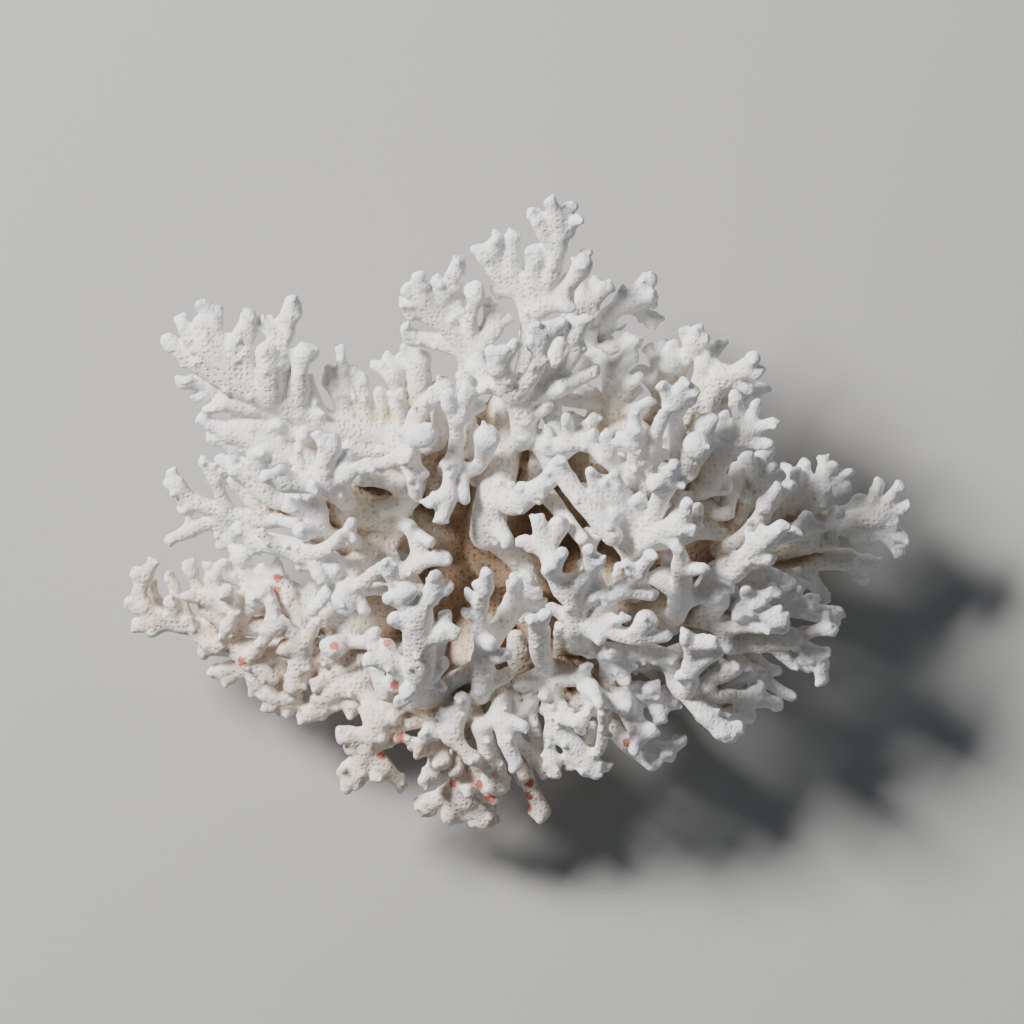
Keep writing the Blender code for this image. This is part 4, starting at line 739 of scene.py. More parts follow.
            (201, 460, 42), (219, 456, 42),
        ),
    ),
    "west_upper": (
        "west_bough",
        (
            (3.4, 2.9, (320, 470, 44), (270, 445, 46), (230, 432, 46)),
            (2.8, 2.4, (318, 442, 46), (275, 427, 47), (240, 424, 46)),
            (2.7, 2.4, (275, 500, 41), (262, 478, 43), (256, 455, 46)),
            (2.3, 1.9, (280, 442, 45), (240, 446, 44), (215, 437, 43)),
            (2.4, 2.0, (330, 462, 45), (300, 458, 46), (275, 458, 47)),
        ),
        (
            (198, 418, 46, 1.6), (212, 436, 44), (232, 455, 43), (260, 455, 50), (300, 437, 52),
            (303, 478, 50), (276, 424, 51),
        ),
    ),
    "northwest_crown": (
        "northwest_bough",
        (
            (3.7, 3.2, (330, 425, 47), (285, 402, 51), (245, 385, 53), (222, 362, 54), (208, 345, 55)),
            (2.9, 2.5, (208, 345, 55), (203, 325, 56)),
            (2.2, 2.0, (232, 358, 55), (240, 338, 57), (249, 324, 58)),
            (3.4, 3.0, (272, 392, 54), (270, 372, 57), (268, 354, 58)),
            (2.0, 1.8, (280, 352, 57), (289, 332, 58), (292, 314, 59)),
            (2.5, 2.4, (300, 396, 53), (301, 372, 56), (304, 358, 57)),
            (3.0, 2.5, (315, 415, 48), (265, 408, 49), (225, 403, 49)),
            (2.3, 2.0, (245, 392, 51), (212, 374, 52), (188, 358, 52), (172, 345, 52)),
            (2.2, 2.0, (225, 372, 53), (205, 358, 53), (192, 338, 54)),
            (2.0, 1.8, (250, 374, 54), (248, 352, 56), (250, 336, 57)),
            (1.7, 1.5, (280, 356, 57), (277, 332, 57)),
            (2.0, 1.8, (236, 372, 54), (222, 345, 55), (216, 325, 56)),
            (2.6, 2.4, (290, 400, 52), (284, 378, 53), (284, 356, 55)),
            (2.4, 2.2, (318, 415, 48), (312, 396, 51), (308, 382, 52)),
            (2.2, 2.0, (240, 404, 48), (215, 388, 48), (200, 382, 48)),
        ),
        (
            (163, 340, 52, 1.4), (180, 318, 54, 1.5), (203, 303, 57, 1.7), (219, 308, 56, 1.4),
            (179, 384, 50, 1.5), (252, 312, 60, 1.7), (262, 320, 58, 1.4), (292, 299, 60, 1.7),
            (301, 313, 58, 1.2), (268, 320, 54, 1.4), (311, 349, 58, 2.6), (284, 364, 58, 1.4),
            (319, 352, 57, 1.2), (205, 412, 47, 1.5), (196, 400, 47, 1.4), (236, 418, 46, 1.5),
            (318, 414, 52, 1.5), (228, 334, 55, 1.3),
        ),
    ),
    "north_northwest": (
        "northwest_bough",
        (
            (2.4, 2.0, (372, 432, 44), (364, 402, 47), (346, 386, 48)),
            (1.7, 1.4, (346, 388, 48), (342, 370, 50)),
            (1.8, 1.7, (365, 400, 47), (362, 382, 48)),
            (2.0, 1.8, (350, 415, 46), (337, 395, 48), (329, 382, 49)),
            (2.0, 1.8, (400, 412, 46), (397, 388, 48), (392, 372, 49)),
            (1.9, 1.7, (384, 432, 44), (381, 408, 46), (380, 392, 47)),
        ),
        (
            (341, 347, 52, 1.1), (329, 366, 50, 1.2), (354, 367, 48, 1.3), (372, 365, 49, 1.4),
            (386, 354, 48, 1.3), (388, 372, 48, 1.2), (402, 366, 48, 1.4),
        ),
    ),
    "northwest_inner": (
        "northwest_bough",
        (
            (3.1, 2.9, (425, 430, 42), (420, 395, 46), (420, 360, 50)),
        ),
        (
            (403, 347, 50, 1.6), (398, 357, 48),
        ),
    ),
    "north_left": (
        "north_bough",
        (
            (2.7, 2.9, (468, 400, 52), (470, 362, 58), (455, 335, 61), (438, 318, 62), (422, 300, 64)),
            (2.2, 2.0, (470, 355, 60), (484, 340, 62), (496, 332, 63)),
            (1.6, 1.3, (472, 340, 62), (473, 318, 66), (477, 297, 68)),
            (2.2, 1.8, (440, 310, 62), (449, 290, 65), (458, 272, 67)),
            (2.2, 2.0, (455, 348, 59), (432, 341, 58), (412, 338, 57)),
            (2.0, 1.7, (432, 318, 61), (412, 312, 62)),
            (1.8, 1.6, (458, 322, 61), (455, 300, 63), (458, 288, 64)),
            (1.8, 1.6, (478, 345, 61), (492, 328, 62)),
        ),
        (
            (406, 290, 66, 1.5), (404, 303, 64, 1.4), (419, 277, 68, 1.7), (436, 281, 67, 1.4),
            (461, 261, 69, 1.6), (404, 329, 60, 1.5), (477, 286, 69, 1.4), (487, 304, 65, 1.3),
            (500, 309, 64, 1.3), (511, 318, 63, 1.4), (461, 313, 64, 1.1), (468, 289, 66, 1.1),
        ),
    ),
    "center_left_knob": (
        "northwest_bough",
        (
            (2.7, 2.4, (410, 462, 55), (411, 440, 59), (420, 412, 61), (445, 388, 61)),
            (2.2, 1.8, (408, 450, 57), (412, 474, 58), (416, 488, 56)),
            (2.0, 1.5, (405, 452, 57), (388, 463, 57), (368, 466, 57)),
            (2.0, 1.8, (440, 442, 52), (438, 420, 54), (437, 408, 55)),
            (2.4, 2.0, (395, 452, 46), (368, 452, 46), (348, 447, 47)),
            (3.4, 2.6, (412, 484, 45), (385, 478, 44), (362, 476, 43)),
            (3.6, 2.8, (405, 500, 41), (378, 508, 40), (352, 520, 40)),
            (3.2, 2.6, (400, 530, 36), (375, 540, 36), (352, 548, 37)),
        ),
        (
            (430, 435, 68, 3.2), (424, 476, 58, 1.2), (417, 498, 55, 1.4), (357, 468, 57, 1.2),
            (402, 432, 62, 1.3),
        ),
    ),
    "center_knob": (
        "northwest_bough",
        (
            (2.0, 1.8, (455, 470, 54), (476, 469, 57), (484, 455, 60)),
            (2.2, 1.8, (456, 450, 56), (457, 425, 60), (451, 405, 64)),
            (1.8, 1.5, (458, 422, 61), (466, 405, 64), (467, 394, 66)),
            (1.8, 1.8, (451, 464, 58), (449, 482, 60), (448, 499, 60)),
            (2.2, 1.9, (478, 472, 50), (472, 445, 52), (470, 424, 54)),
        ),
        (
            (488, 434, 69, 3.5), (449, 394, 67, 1.4), (467, 384, 67, 1.2), (475, 392, 66, 1.3),
            (481, 404, 60, 1.4), (427, 505, 62, 1.4), (441, 522, 60, 1.8), (464, 500, 60, 1.4),
            (444, 463, 61, 1.3), (456, 463, 61, 1.3),
        ),
    ),
    "west_heart": (
        "west_bough",
        (
            (2.5, 2.4, (345, 500, 48), (330, 486, 53), (300, 484, 56), (284, 482, 57)),
            (2.9, 2.5, (325, 484, 54), (326, 462, 57), (333, 446, 59)),
            (1.5, 1.3, (303, 478, 55), (300, 460, 56), (299, 446, 56)),
            (2.0, 1.7, (335, 482, 54), (348, 475, 56)),
        ),
        (
            (264, 475, 60, 1.7), (281, 467, 60, 1.3), (314, 490, 58, 1.7), (318, 433, 60, 1.5),
            (336, 436, 60, 1.5), (355, 472, 58, 1.4), (345, 452, 57, 1.5),
        ),
    ),
    "west_grey": (
        "west_bough",
        (
            (3.5, 3.0, (348, 572, 42), (325, 560, 45), (290, 548, 45), (255, 540, 43)),
            (2.0, 1.8, (300, 556, 47), (325, 549, 50), (343, 535, 53)),
            (2.9, 2.4, (350, 580, 44), (345, 592, 46)),
            (1.8, 1.7, (352, 588, 46), (370, 576, 49), (382, 568, 50)),
            (2.7, 2.5, (325, 535, 44), (318, 518, 46), (316, 502, 47)),
            (2.4, 2.2, (400, 572, 40), (418, 556, 41), (416, 538, 42)),
            (2.0, 1.7, (402, 572, 42), (424, 562, 43), (441, 558, 43)),
            (2.0, 1.8, (398, 592, 43), (378, 589, 42), (363, 590, 42)),
            (1.8, 1.5, (280, 549, 46), (268, 540, 48), (262, 532, 49)),
            (1.8, 1.5, (310, 556, 46), (316, 566, 48), (322, 580, 49)),
        ),
        (
            (352, 523, 55, 1.4), (353, 538, 53, 1.2), (250, 552, 42, 1.8), (270, 546, 45, 1.5),
            (288, 547, 46, 1.8), (235, 525, 44, 1.8), (298, 531, 51, 2.3), (287, 505, 50, 2.2),
            (338, 606, 48, 2.2), (348, 612, 47, 1.8), (366, 613, 45, 1.7), (310, 614, 42, 1.2),
            (318, 602, 42, 1.4), (432, 543, 47, 1.1), (412, 530, 44, 1.8), (449, 562, 43, 1.3),
            (330, 572, 48, 2.6),
        ),
    ),
}


def place(point):
    """A plan point (x, y, height) in millimetres from the origin."""
    x, y, height = point[:3]
    return np.array([(x - PLAN_MIDDLE[0]) * PLAN_STEP, (PLAN_MIDDLE[1] - y) * PLAN_STEP, height])


def smooth_path(points, start_radius, end_radius):
    """Points about PATH_STEP apart on a Catmull-Rom curve through the given ones, with a radius for each."""
    ends = [2 * points[0] - points[1], *points, 2 * points[-1] - points[-2]]
    samples = []
    for before, start, end, after in zip(ends, ends[1:], ends[2:], ends[3:]):
        count = max(2, round(np.linalg.norm(end - start) / PATH_STEP))
        for t in np.arange(count) / count:
            samples.append(
                0.5 * (2 * start + (end - before) * t + (2 * before - 5 * start + 4 * end - after) * t**2
                       + (3 * start - before - 3 * end + after) * t**3)
            )
    samples = np.array([*samples, points[-1]])
    along = np.concatenate([[0.0], np.cumsum(np.linalg.norm(np.diff(samples, axis=0), axis=1))])
    radii = np.interp(along, [0.0, along[-1]], [start_radius, end_radius])
    return samples, radii, along


def best_root(tip, samples, growth):
    """The sample that a shoot to this tip leaves, which is the least of its distance and part of the growth there."""
    cost = np.linalg.norm(samples - tip, axis=1) + FINGER_SLANT * growth
    return int(np.argmin(cost))


def point_along(samples, distance):
    """The place that far along a path."""
    along = np.concatenate([[0.0], np.linalg.norm(np.diff(samples, axis=0), axis=1).cumsum()])
    return np.array([np.interp(distance, along, samples[:, k]) for k in range(3)])


class Growth:
    """The limbs of one solid: the tubes to draw, and the samples that further shoots can leave."""

    def __init__(self):
        self.tubes = []
        self.arms = []
        self.samples = np.zeros((0, 3))
        self.growth = np.zeros(0)

    def add_limb(self, points, start_radius, end_radius, carrier):
        """One limb through the points. If it starts clear of its carrier, it is led back to it."""
        begun = 0.0
        if len(carrier.samples):
            root = best_root(points[0], carrier.samples, carrier.growth)
            begun = carrier.growth[root]
            if np.linalg.norm(carrier.samples[root] - points[0]) > PATH_STEP:
                points = [carrier.samples[root], *points]
        samples, radii, along = smooth_path(points, start_radius, end_radius)
        self.tubes.append((samples, radii))
        self.arms.append(samples)
        self.samples = np.vstack([self.samples, samples])
        self.growth = np.concatenate([self.growth, begun + along])

    def add_finger(self, tip, radius):
        """One blunt finger whose outer end is the tip."""
        root = self.samples[best_root(tip, self.samples, self.growth)]
        heading = (tip - root) / np.linalg.norm(tip - root)
        middle = tip - heading * radius * END_SET_BACK
        samples = np.array([root, (root + middle) / 2, middle])
        self.arms.append(samples)
        root_radius = min(FINGER_SWELL * radius, STALK_RADIUS)
        radii = np.array([root_radius, (root_radius + radius) / 2, radius])
        self.tubes.append((samples, radii))

    def add_nubs(self, chance):
        """Low nubs here and there along the limbs, and two or three close to every finger's end."""
        for samples, radii in list(self.tubes):
            lengths = np.linalg.norm(np.diff(samples, axis=0), axis=1)
            along = np.concatenate([[0.0], lengths.cumsum()])
            finger = len(samples) == FINGER_POINTS
            if finger:
                spots_along = along[-1] - np.array(NUBS_BEFORE_END)
            else:
                spots_along = np.arange(NUB_SPACING, along[-1], NUB_SPACING)
            heading = (samples[-1] - samples[0]) / np.linalg.norm(samples[-1] - samples[0])
            for distance in spots_along:
                spot = [np.interp(distance, along, samples[:, k]) for k in range(3)]
                radius = np.interp(distance, along, radii)
                turn = chance.normal(size=3)
                turn = turn - heading * np.dot(turn, heading)
                turn = turn / np.linalg.norm(turn) + np.array([0.0, 0.0, NUB_RISE]) + NUB_LEAN * heading
                turn = turn / np.linalg.norm(turn)
                thick = chance.uniform(*NUB_RADIUS)
                reach = radius - thick + chance.uniform(*(TIP_NUB_LENGTH if finger else NUB_LENGTH))
                self.tubes.append((np.array([spot, spot + turn * reach]), np.array([1.1 * thick, thick])))

    def add_webs(self):
        """Rungs that fill the fork between each two arms which leave about the same place, as in a hand."""
        for k, arm in enumerate(self.arms):
            for other in self.arms[:k]:
                first, second = arm[-1] - arm[0], other[-1] - other[0]
                lengths = np.linalg.norm(first), np.linalg.norm(second)
                spread = np.dot(first, second) / (lengths[0] * lengths[1])
                if np.linalg.norm(arm[0] - other[0]) > WEB_ROOTS or not WEB_WIDE < spread < WEB_NARROW:
                    continue
                for distance in np.arange(WEB_SPACING, WEB_SHARE * min(lengths), WEB_SPACING):
                    ends = [point_along(arm, distance), point_along(other, distance)]
                    if np.linalg.norm(ends[0] - ends[1]) > WEB_SPAN:
                        break
                    middle = (ends[0] + ends[1]) / 2
                    middle = middle + WEB_HOLLOW * ((arm[0] + other[0]) / 2 - middle)
                    self.tubes.append((np.array([ends[0], middle, ends[1]]), np.full(3, WEB_RADIUS)))

    def add_under_fingers(self, limb):
        """Short fingers below a limb, to its left and right in turn."""
        samples, along = limb[0], np.linalg.norm(np.diff(limb[0], axis=0), axis=1).cumsum()
        side = 1.0
        for distance in np.arange(UNDER_SPACING, along[-1] - UNDER_SPACING / 2, UNDER_SPACING):
            at = int(np.searchsorted(along, distance))
            heading = samples[at + 1] - samples[at]
            heading = heading / np.linalg.norm(heading)
            sideways = np.cross(heading, [0.0, 0.0, 1.0]) * side
            turn = heading + UNDER_SPREAD * sideways - np.array([0.0, 0.0, UNDER_DROP])
            self.add_finger(samples[at] + UNDER_LENGTH * turn / np.linalg.norm(turn), UNDER_RADIUS)
            side = -side


def grow_colony():
    """Each solid's limbs and fingers, from the trunk outwards."""
    none = Growth()
    grown = {}
    chance = np.random.default_rng(NUB_SEED)
    for name, (start_radius, end_radius, *points) in BOUGHS.items():
        grown[name] = Growth()
        grown[name].add_limb([place(p) for p in points], start_radius, end_radius, none)
        grown[name].add_under_fingers(grown[name].tubes[0])
    for name, (carrier, limbs, fingers) in SPRAYS.items():
        spray = Growth()
        for start_radius, end_radius, *points in limbs:
            origin = spray if len(spray.samples) else grown[carrier]
            spray.add_limb([place(p) for p in points], start_radius, end_radius, origin)
        for limb in list(spray.tubes):
            spray.add_under_fingers(limb)
        for finger in fingers:
            spray.add_finger(place(finger), finger[3] if len(finger) > 3 else FINGER_RADIUS)
        spray.add_nubs(chance)
        spray.add_webs()
        grown[name] = spray
    return grown


def family_of(name):
    """The bough that a spray comes from at last."""
    while name in SPRAYS:
        name = SPRAYS[name][0]
    return name


def tube_distance(samples, radii, low, shape):
    """The least distance to a tube's rounded cones, on the box of grid points around it, and that box."""
    first = np.floor((samples - radii[:, None] - REACH).min(axis=0) / STEP - low / STEP).astype(int)
    last = np.ceil((samples + radii[:, None] + REACH).max(axis=0) / STEP - low / STEP).astype(int)
    first, last = np.clip(first, 0, shape), np.clip(last + 1, 0, shape)
    distance = np.full(last - first, FAR, np.float32)
    for a, b, ra, rb in zip(samples, samples[1:], radii, radii[1:]):
        around = max(ra, rb) + REACH
        start = np.clip(np.floor((np.minimum(a, b) - around - low) / STEP).astype(int), first, last) - first
        end = np.clip(np.ceil((np.maximum(a, b) + around - low) / STEP).astype(int) + 1, first, last) - first
        axes = [low[k] + STEP * (first[k] + np.arange(start[k], end[k])) - a[k] for k in range(3)]
        x, y, z = np.meshgrid(*[axis.astype(np.float32) for axis in axes], indexing="ij", sparse=True)
        ab = (b - a).astype(np.float32)
        t = np.clip((x * ab[0] + y * ab[1] + z * ab[2]) / np.dot(ab, ab), 0, 1)
        away = np.sqrt((x - t * ab[0]) ** 2 + (y - t * ab[1]) ** 2 + (z - t * ab[2]) ** 2)
        part = tuple(slice(s, e) for s, e in zip(start, end))
        distance[part] = np.minimum(distance[part], away - (ra + t * (rb - ra)))
    return distance, tuple(slice(s, e) for s, e in zip(first, last))


def trunk_distance(low, shape):
    """About the distance to the stump: its uneven turned profile on the whole grid."""
    middle = place((*TRUNK_MIDDLE, 0))
    x, y, z = (low[k] + STEP * np.arange(shape[k], dtype=np.float32) - middle[k] for k in range(3))
    out = np.hypot(x[:, None], y[None, :])
    angle = np.arctan2(y[None, :], x[:, None])
    waves = 1 + sum(share * np.sin(count * angle + phase) for count, share, phase in TRUNK_WAVES)
    heights, radii = np.array(TRUNK_PROFILE).T
    radius = np.interp(z, heights, radii)
    side = (out[:, :, None] - waves[:, :, None] * radius) * TRUNK_SLOPE
    return np.maximum(side, z - heights[-1]).astype(np.float32)


def lattice_weights(count, spacing):
    """For each of the grid points along an axis, its cubic B-spline weights on lattice points that far apart."""
    at = np.arange(count) * STEP / spacing
    cell = at.astype(int)
    f = at - cell
    weights = np.zeros((count, cell[-1] + 4), np.float32)
    rows = np.arange(count)
    weights[rows, cell] = (1 - f) ** 3 / 6
    weights[rows, cell + 1] = (4 - 6 * f**2 + 3 * f**3) / 6
    weights[rows, cell + 2] = (1 + 3 * f + 3 * f**2 - 3 * f**3) / 6
    weights[rows, cell + 3] = f**3 / 6
    return weights


def along_axes(matrices, values):
    """Multiplies a block by one matrix along each of its axes."""
    for matrix in matrices:
        values = np.tensordot(values, matrix, (0, 1))
    return values


def lumps(shape):
    """The lumps in millimetres at every grid point."""
    total = np.zeros(shape, np.float32)
    for spacing, height, seed in LUMPS:
        weights = [lattice_weights(count, spacing) for count in shape]
        lattice = np.random.default_rng(seed).uniform(-height, height, [w.shape[1] for w in weights])
        total += along_axes(weights, lattice.astype(np.float32))
    return total


def blur(values, width, step):
    """A Gaussian blur along each axis."""
    matrices = []
    for count in values.shape:
        at = np.arange(count) * step
        weight = np.exp(-0.5 * ((at[:, None] - at[None, :]) / width) ** 2)
        matrices.append((weight / (width / step * np.sqrt(2 * np.pi))).astype(np.float32))
    return along_axes(matrices, values)


class Colony:
    """The coral on one grid: the joined field, each family's distances, and what colours the skin."""

    def __init__(self, grown, part_box):
        tubes = [(family_of(name), *tube) for name, growth in grown.items() for tube in growth.tubes]
        ends = [(s - r[:, None], s + r[:, None]) for _, s, r in tubes]
        base = place((*TRUNK_MIDDLE, 0))
        lows = [e[0].min(axis=0) for e in ends] + [base - 1.1 * TRUNK_PROFILE[0][1]]
        highs = [e[1].max(axis=0) for e in ends] + [base + 1.1 * TRUNK_PROFILE[0][1]]
        self.low = np.min(lows, axis=0) - 3.0
        self.low[2] = -2.5 * STEP
        self.shape = np.ceil((np.max(highs, axis=0) + 3.0 - self.low) / STEP).astype(int)
        self.join(tubes)
        self.stay_in(np.array(part_box) / MM + BOX_GAP * np.array([[1, 1, 0], [-1, -1, -1]]))
        self.crowd()

    def join(self, tubes):
        """Adds up the tubes, and keeps the least distance to each family, to the nearest one and to the next."""
        total = np.zeros(self.shape, np.float32)
        trunk = trunk_distance(self.low, self.shape)
        total += np.exp(-np.clip(trunk, -20 * BLEND, 40 * BLEND) / BLEND)
        self.near = {"trunk": trunk}
        for family in BOUGHS:
            self.near[family] = np.full(self.shape, FAR, np.float32)
        for family, samples, radii in tubes:
            distance, box = tube_distance(samples, radii, self.low, self.shape)
            total[box] += np.exp(-distance / BLEND)
            near = self.near[family]
            near[box] = np.minimum(near[box], distance)
        self.first = np.full(self.shape, FAR, np.float32)
        self.second = self.first.copy()
        for near in self.near.values():
            self.second = np.minimum(self.second, np.maximum(self.first, near))
            self.first = np.minimum(self.first, near)
        self.field = SHRINK - BLEND * np.log(np.maximum(total, 1e-30))
        self.field += lumps(self.shape)

    def stay_in(self, box):
        """Keeps the skin inside the part's box, where a nub would reach out of it."""
        for k in range(3):
            line = self.low[k] + STEP * np.arange(self.shape[k], dtype=np.float32)
            out = np.maximum(box[0][k] - line, line - box[1][k])
            self.field = np.maximum(self.field, out.reshape([-1 if k == axis else 1 for axis in range(3)]))

    def crowd(self):
        """How full the space around each coarse grid point is, and how much lies over it, for the painted shade in
        the skin's colour.
        """
        whole = self.shape // CROWD_COARSE * CROWD_COARSE
        full = (self.field[: whole[0], : whole[1], : whole[2]] < 0).astype(np.float32)
        blocks = full.reshape(*[part for n in whole for part in (n // CROWD_COARSE, CROWD_COARSE)])
        coarse = blocks.mean(axis=(1, 3, 5))
        step = STEP * CROWD_COARSE
        self.around = blur(coarse, CROWD_BLUR, step)
        self.hollow = blur(coarse, HOLLOW_BLUR, step)
        height = self.low[2] + step * np.arange(coarse.shape[2], dtype=np.float32)
        top = np.where(coarse > 0.5, height, 0.0).max(axis=2)[:, :, None]
        canopy_height = blur(top, CANOPY_BLUR, step) / np.maximum(blur(np.sign(top), CANOPY_BLUR, step), 1e-3)
        self.depth = canopy_height - height

    def at(self, block, spots):
        """A coarse block's values at places in millimetres, filled in linearly."""
        step = STEP * CROWD_COARSE
        where = (spots - self.low) / step - 0.5 * (CROWD_COARSE - 1) / CROWD_COARSE
        where = np.clip(where, 0, np.array(block.shape) - 1.001)
        cell = where.astype(int)
        f = where - cell
        total = 0.0
        for corner in np.ndindex(2, 2, 2):
            weight = np.prod([f[:, k] if corner[k] else 1 - f[:, k] for k in range(3)], axis=0)
            total = total + weight * block[tuple(cell[:, k] + corner[k] for k in range(3))]
        return total

    def piece(self, family):
        """The closed skin of one family's part of the colony."""
        near = self.near[family]
        used = [np.nonzero((near < REACH / 2).any(axis=sides))[0] for sides in ((1, 2), (0, 2), (0, 1))]
        first = np.array([max(at[0] - 1, 0) for at in used])
        box = tuple(slice(start, at[-1] + 2) for start, at in zip(first, used))
        near = near[box]
        other = np.where(near <= self.first[box], self.second[box], self.first[box])
        beyond = (near - other) / 2
        field = np.maximum(self.field[box] + DIVE * np.clip(beyond / OVERLAP, 0, 1), beyond - OVERLAP)
        part_diagonals(field)
        spots, quads = skin(field)
        return self.low + STEP * (first + spots), quads


def part_diagonals(field):
    """Fills a grid point wherever four in a square are in and out crosswise, so that no edge has four faces."""
    for _ in range(4):
        found = False
        for axis in range(3):
            turned = np.moveaxis(field, axis, 0)
            square = [turned[:, :-1, :-1], turned[:, 1:, :-1], turned[:, :-1, 1:], turned[:, 1:, 1:]]
            a, b, c, d = (corner < 0 for corner in square)
            falling, rising = a & d & ~b & ~c, b & c & ~a & ~d
            square[1][falling] = -0.1 * STEP
            square[0][rising] = -0.1 * STEP
            found = found or falling.any() or rising.any()
        if not found:
            break


CORNERS = np.array(list(np.ndindex(2, 2, 2)))
EDGES = [(a, b) for a in range(8) for b in range(a + 1, 8) if np.abs(CORNERS[a] - CORNERS[b]).sum() == 1]


def skin(field):
    """Surface nets: a vertex in each cell that the zero level crosses, at the mean of the crossings on its edges,
    and a quad around each grid edge that it crosses, facing the side where the field is positive."""
    inside = field < 0
    corners = [inside[tuple(slice(c, n - 1 + c) for c, n in zip(corner, field.shape))] for corner in CORNERS]
    filled = np.sum(corners, axis=0, dtype=np.int8)
    crossed = (filled > 0) & (filled < 8)
    cells = np.argwhere(crossed)
    number = np.full(crossed.shape, -1, np.int32)
    number[crossed] = np.arange(len(cells), dtype=np.int32)
    value = np.stack([field[tuple((cells + corner).T)] for corner in CORNERS], axis=1)
    total, hits = np.zeros((len(cells), 3)), np.zeros((len(cells), 1))
    for a, b in EDGES:
        cut = (value[:, a] < 0) != (value[:, b] < 0)
        step = np.where(cut, value[:, a] - value[:, b], 1.0)
        t = np.where(cut, value[:, a] / step, 0.0)[:, None]
        total += cut[:, None] * (CORNERS[a] + t * (CORNERS[b] - CORNERS[a]))
        hits += cut[:, None]
    quads = []
    for axis in range(3):
        low = np.take(inside, range(field.shape[axis] - 1), axis)
        high = np.take(inside, range(1, field.shape[axis]), axis)
        edge = np.argwhere(low != high)
        u, v = np.eye(3, dtype=int)[(axis + 1) % 3], np.eye(3, dtype=int)[(axis + 2) % 3]
        ring = [number[tuple((edge - s * u - t * v).T)] for s, t in ((1, 1), (0, 1), (0, 0), (1, 0))]
        quad = np.stack(ring, axis=1)
        quads.append(np.where(low[tuple(edge.T)][:, None], quad, quad[:, ::-1]))
    return cells + total / hits, np.vstack(quads)


def canopy(colony, x, y):
    """The height of the highest skin over a plan place, in millimetres."""
    spot = place((x, y, 0))
    i, j = np.round((spot[:2] - colony.low[:2]) / STEP).astype(int)
    filled = np.nonzero(colony.field[i, j] < 0)[0]
    return colony.low[2] + STEP * filled[-1] if len(filled) else 0.0


def nearest(spots, marks):
    """For each place, its distance in millimetres to the nearest of a few marks."""
    least = np.full(len(spots), FAR)
    for mark in marks:
        least = np.minimum(least, np.linalg.norm(spots - mark, axis=1))
    return least


def add_mesh(name, spots, quads, values):
    """A smooth mesh object of the quads, with its values at each corner as named attributes."""
    mesh = bpy.data.meshes.new(name)
    mesh.vertices.add(len(spots))
    mesh.vertices.foreach_set("co", (spots * MM).astype(np.float32).ravel())
    mesh.loops.add(quads.size)
    mesh.loops.foreach_set("vertex_index", quads.astype(np.int32).ravel())
    mesh.polygons.add(len(quads))
    mesh.polygons.foreach_set("loop_start", np.arange(0, quads.size, 4, dtype=np.int32))
    mesh.update(calc_edges=True)
    mesh.shade_smooth()
    for key, value in values.items():
        attribute = mesh.attributes.new(key, "FLOAT", "POINT")
        attribute.data.foreach_set("value", np.ascontiguousarray(value, dtype=np.float32))
    thing = bpy.data.objects.new(name, mesh)
    bpy.context.scene.collection.objects.link(thing)
    return thing


class Shade:
    """A value or colour in a material's node tree. The usual operators make maths nodes."""

    def __init__(self, tree, socket):
        self.tree = tree
        self.socket = socket

    def node(self, kind, settings=None, output=0, **inputs):
        """Adds a node: its settings first, then each named input's value or link."""
        made = self.tree.nodes.new(kind)
        for key, value in (settings or {}).items():
            setattr(made, key, value)
        for key, value in inputs.items():
            socket = made.inputs[int(key[1:])] if key[1:].isdigit() else made.inputs[key.replace("_", " ")]
            if isinstance(value, Shade):
                self.tree.links.new(value.socket, socket)
            else:
                socket.default_value = value
        return Shade(self.tree, made.outputs[output])

    def maths(self, operation, other=0.0, third=0.0):
        """One Math node."""
        return self.node("ShaderNodeMath", {"operation": operation}, i0=self, i1=other, i2=third)

    def __add__(self, other):
        return self.maths("ADD", other)

    __radd__ = __add__

    def __sub__(self, other):
        return self.maths("SUBTRACT", other)

    def __rsub__(self, other):
        return (self * -1.0) + other

    def __mul__(self, other):
        return self.maths("MULTIPLY", other)

    __rmul__ = __mul__

    def rise(self, low, high):
        """0 below low, 1 above high and smooth between."""
        return self.node(
            "ShaderNodeMapRange", {"interpolation_type": "SMOOTHSTEP"}, Value=self, From_Min=low, From_Max=high
        )

    def fall(self, low, high):
        """1 below low and 0 above high."""
        return 1.0 - self.rise(low, high)

    def mix(self, first, second):
        """The first colour where this is 0 and the second where it is 1."""
        return self.node("ShaderNodeMix", {"data_type": "RGBA"}, output=2, i0=self, i6=first, i7=second)


def noise(coords, scale, detail=2.0):
    """Noise in 0 to 1 with that many waves to the millimetre."""
    return coords.node(
        "ShaderNodeTexNoise", Vector=coords, Scale=scale / MM, Detail=detail, Roughness=0.55
    )


def pits(coords, spacing):
    """1 in the middle of each cup and 0 on the walls between them."""
    cells = coords.node(
        "ShaderNodeTexVoronoi", {"feature": "F1"}, Vector=coords, Scale=1.0 / (spacing * MM), Randomness=0.6
    )
    return cells.fall(0.16, 0.5)


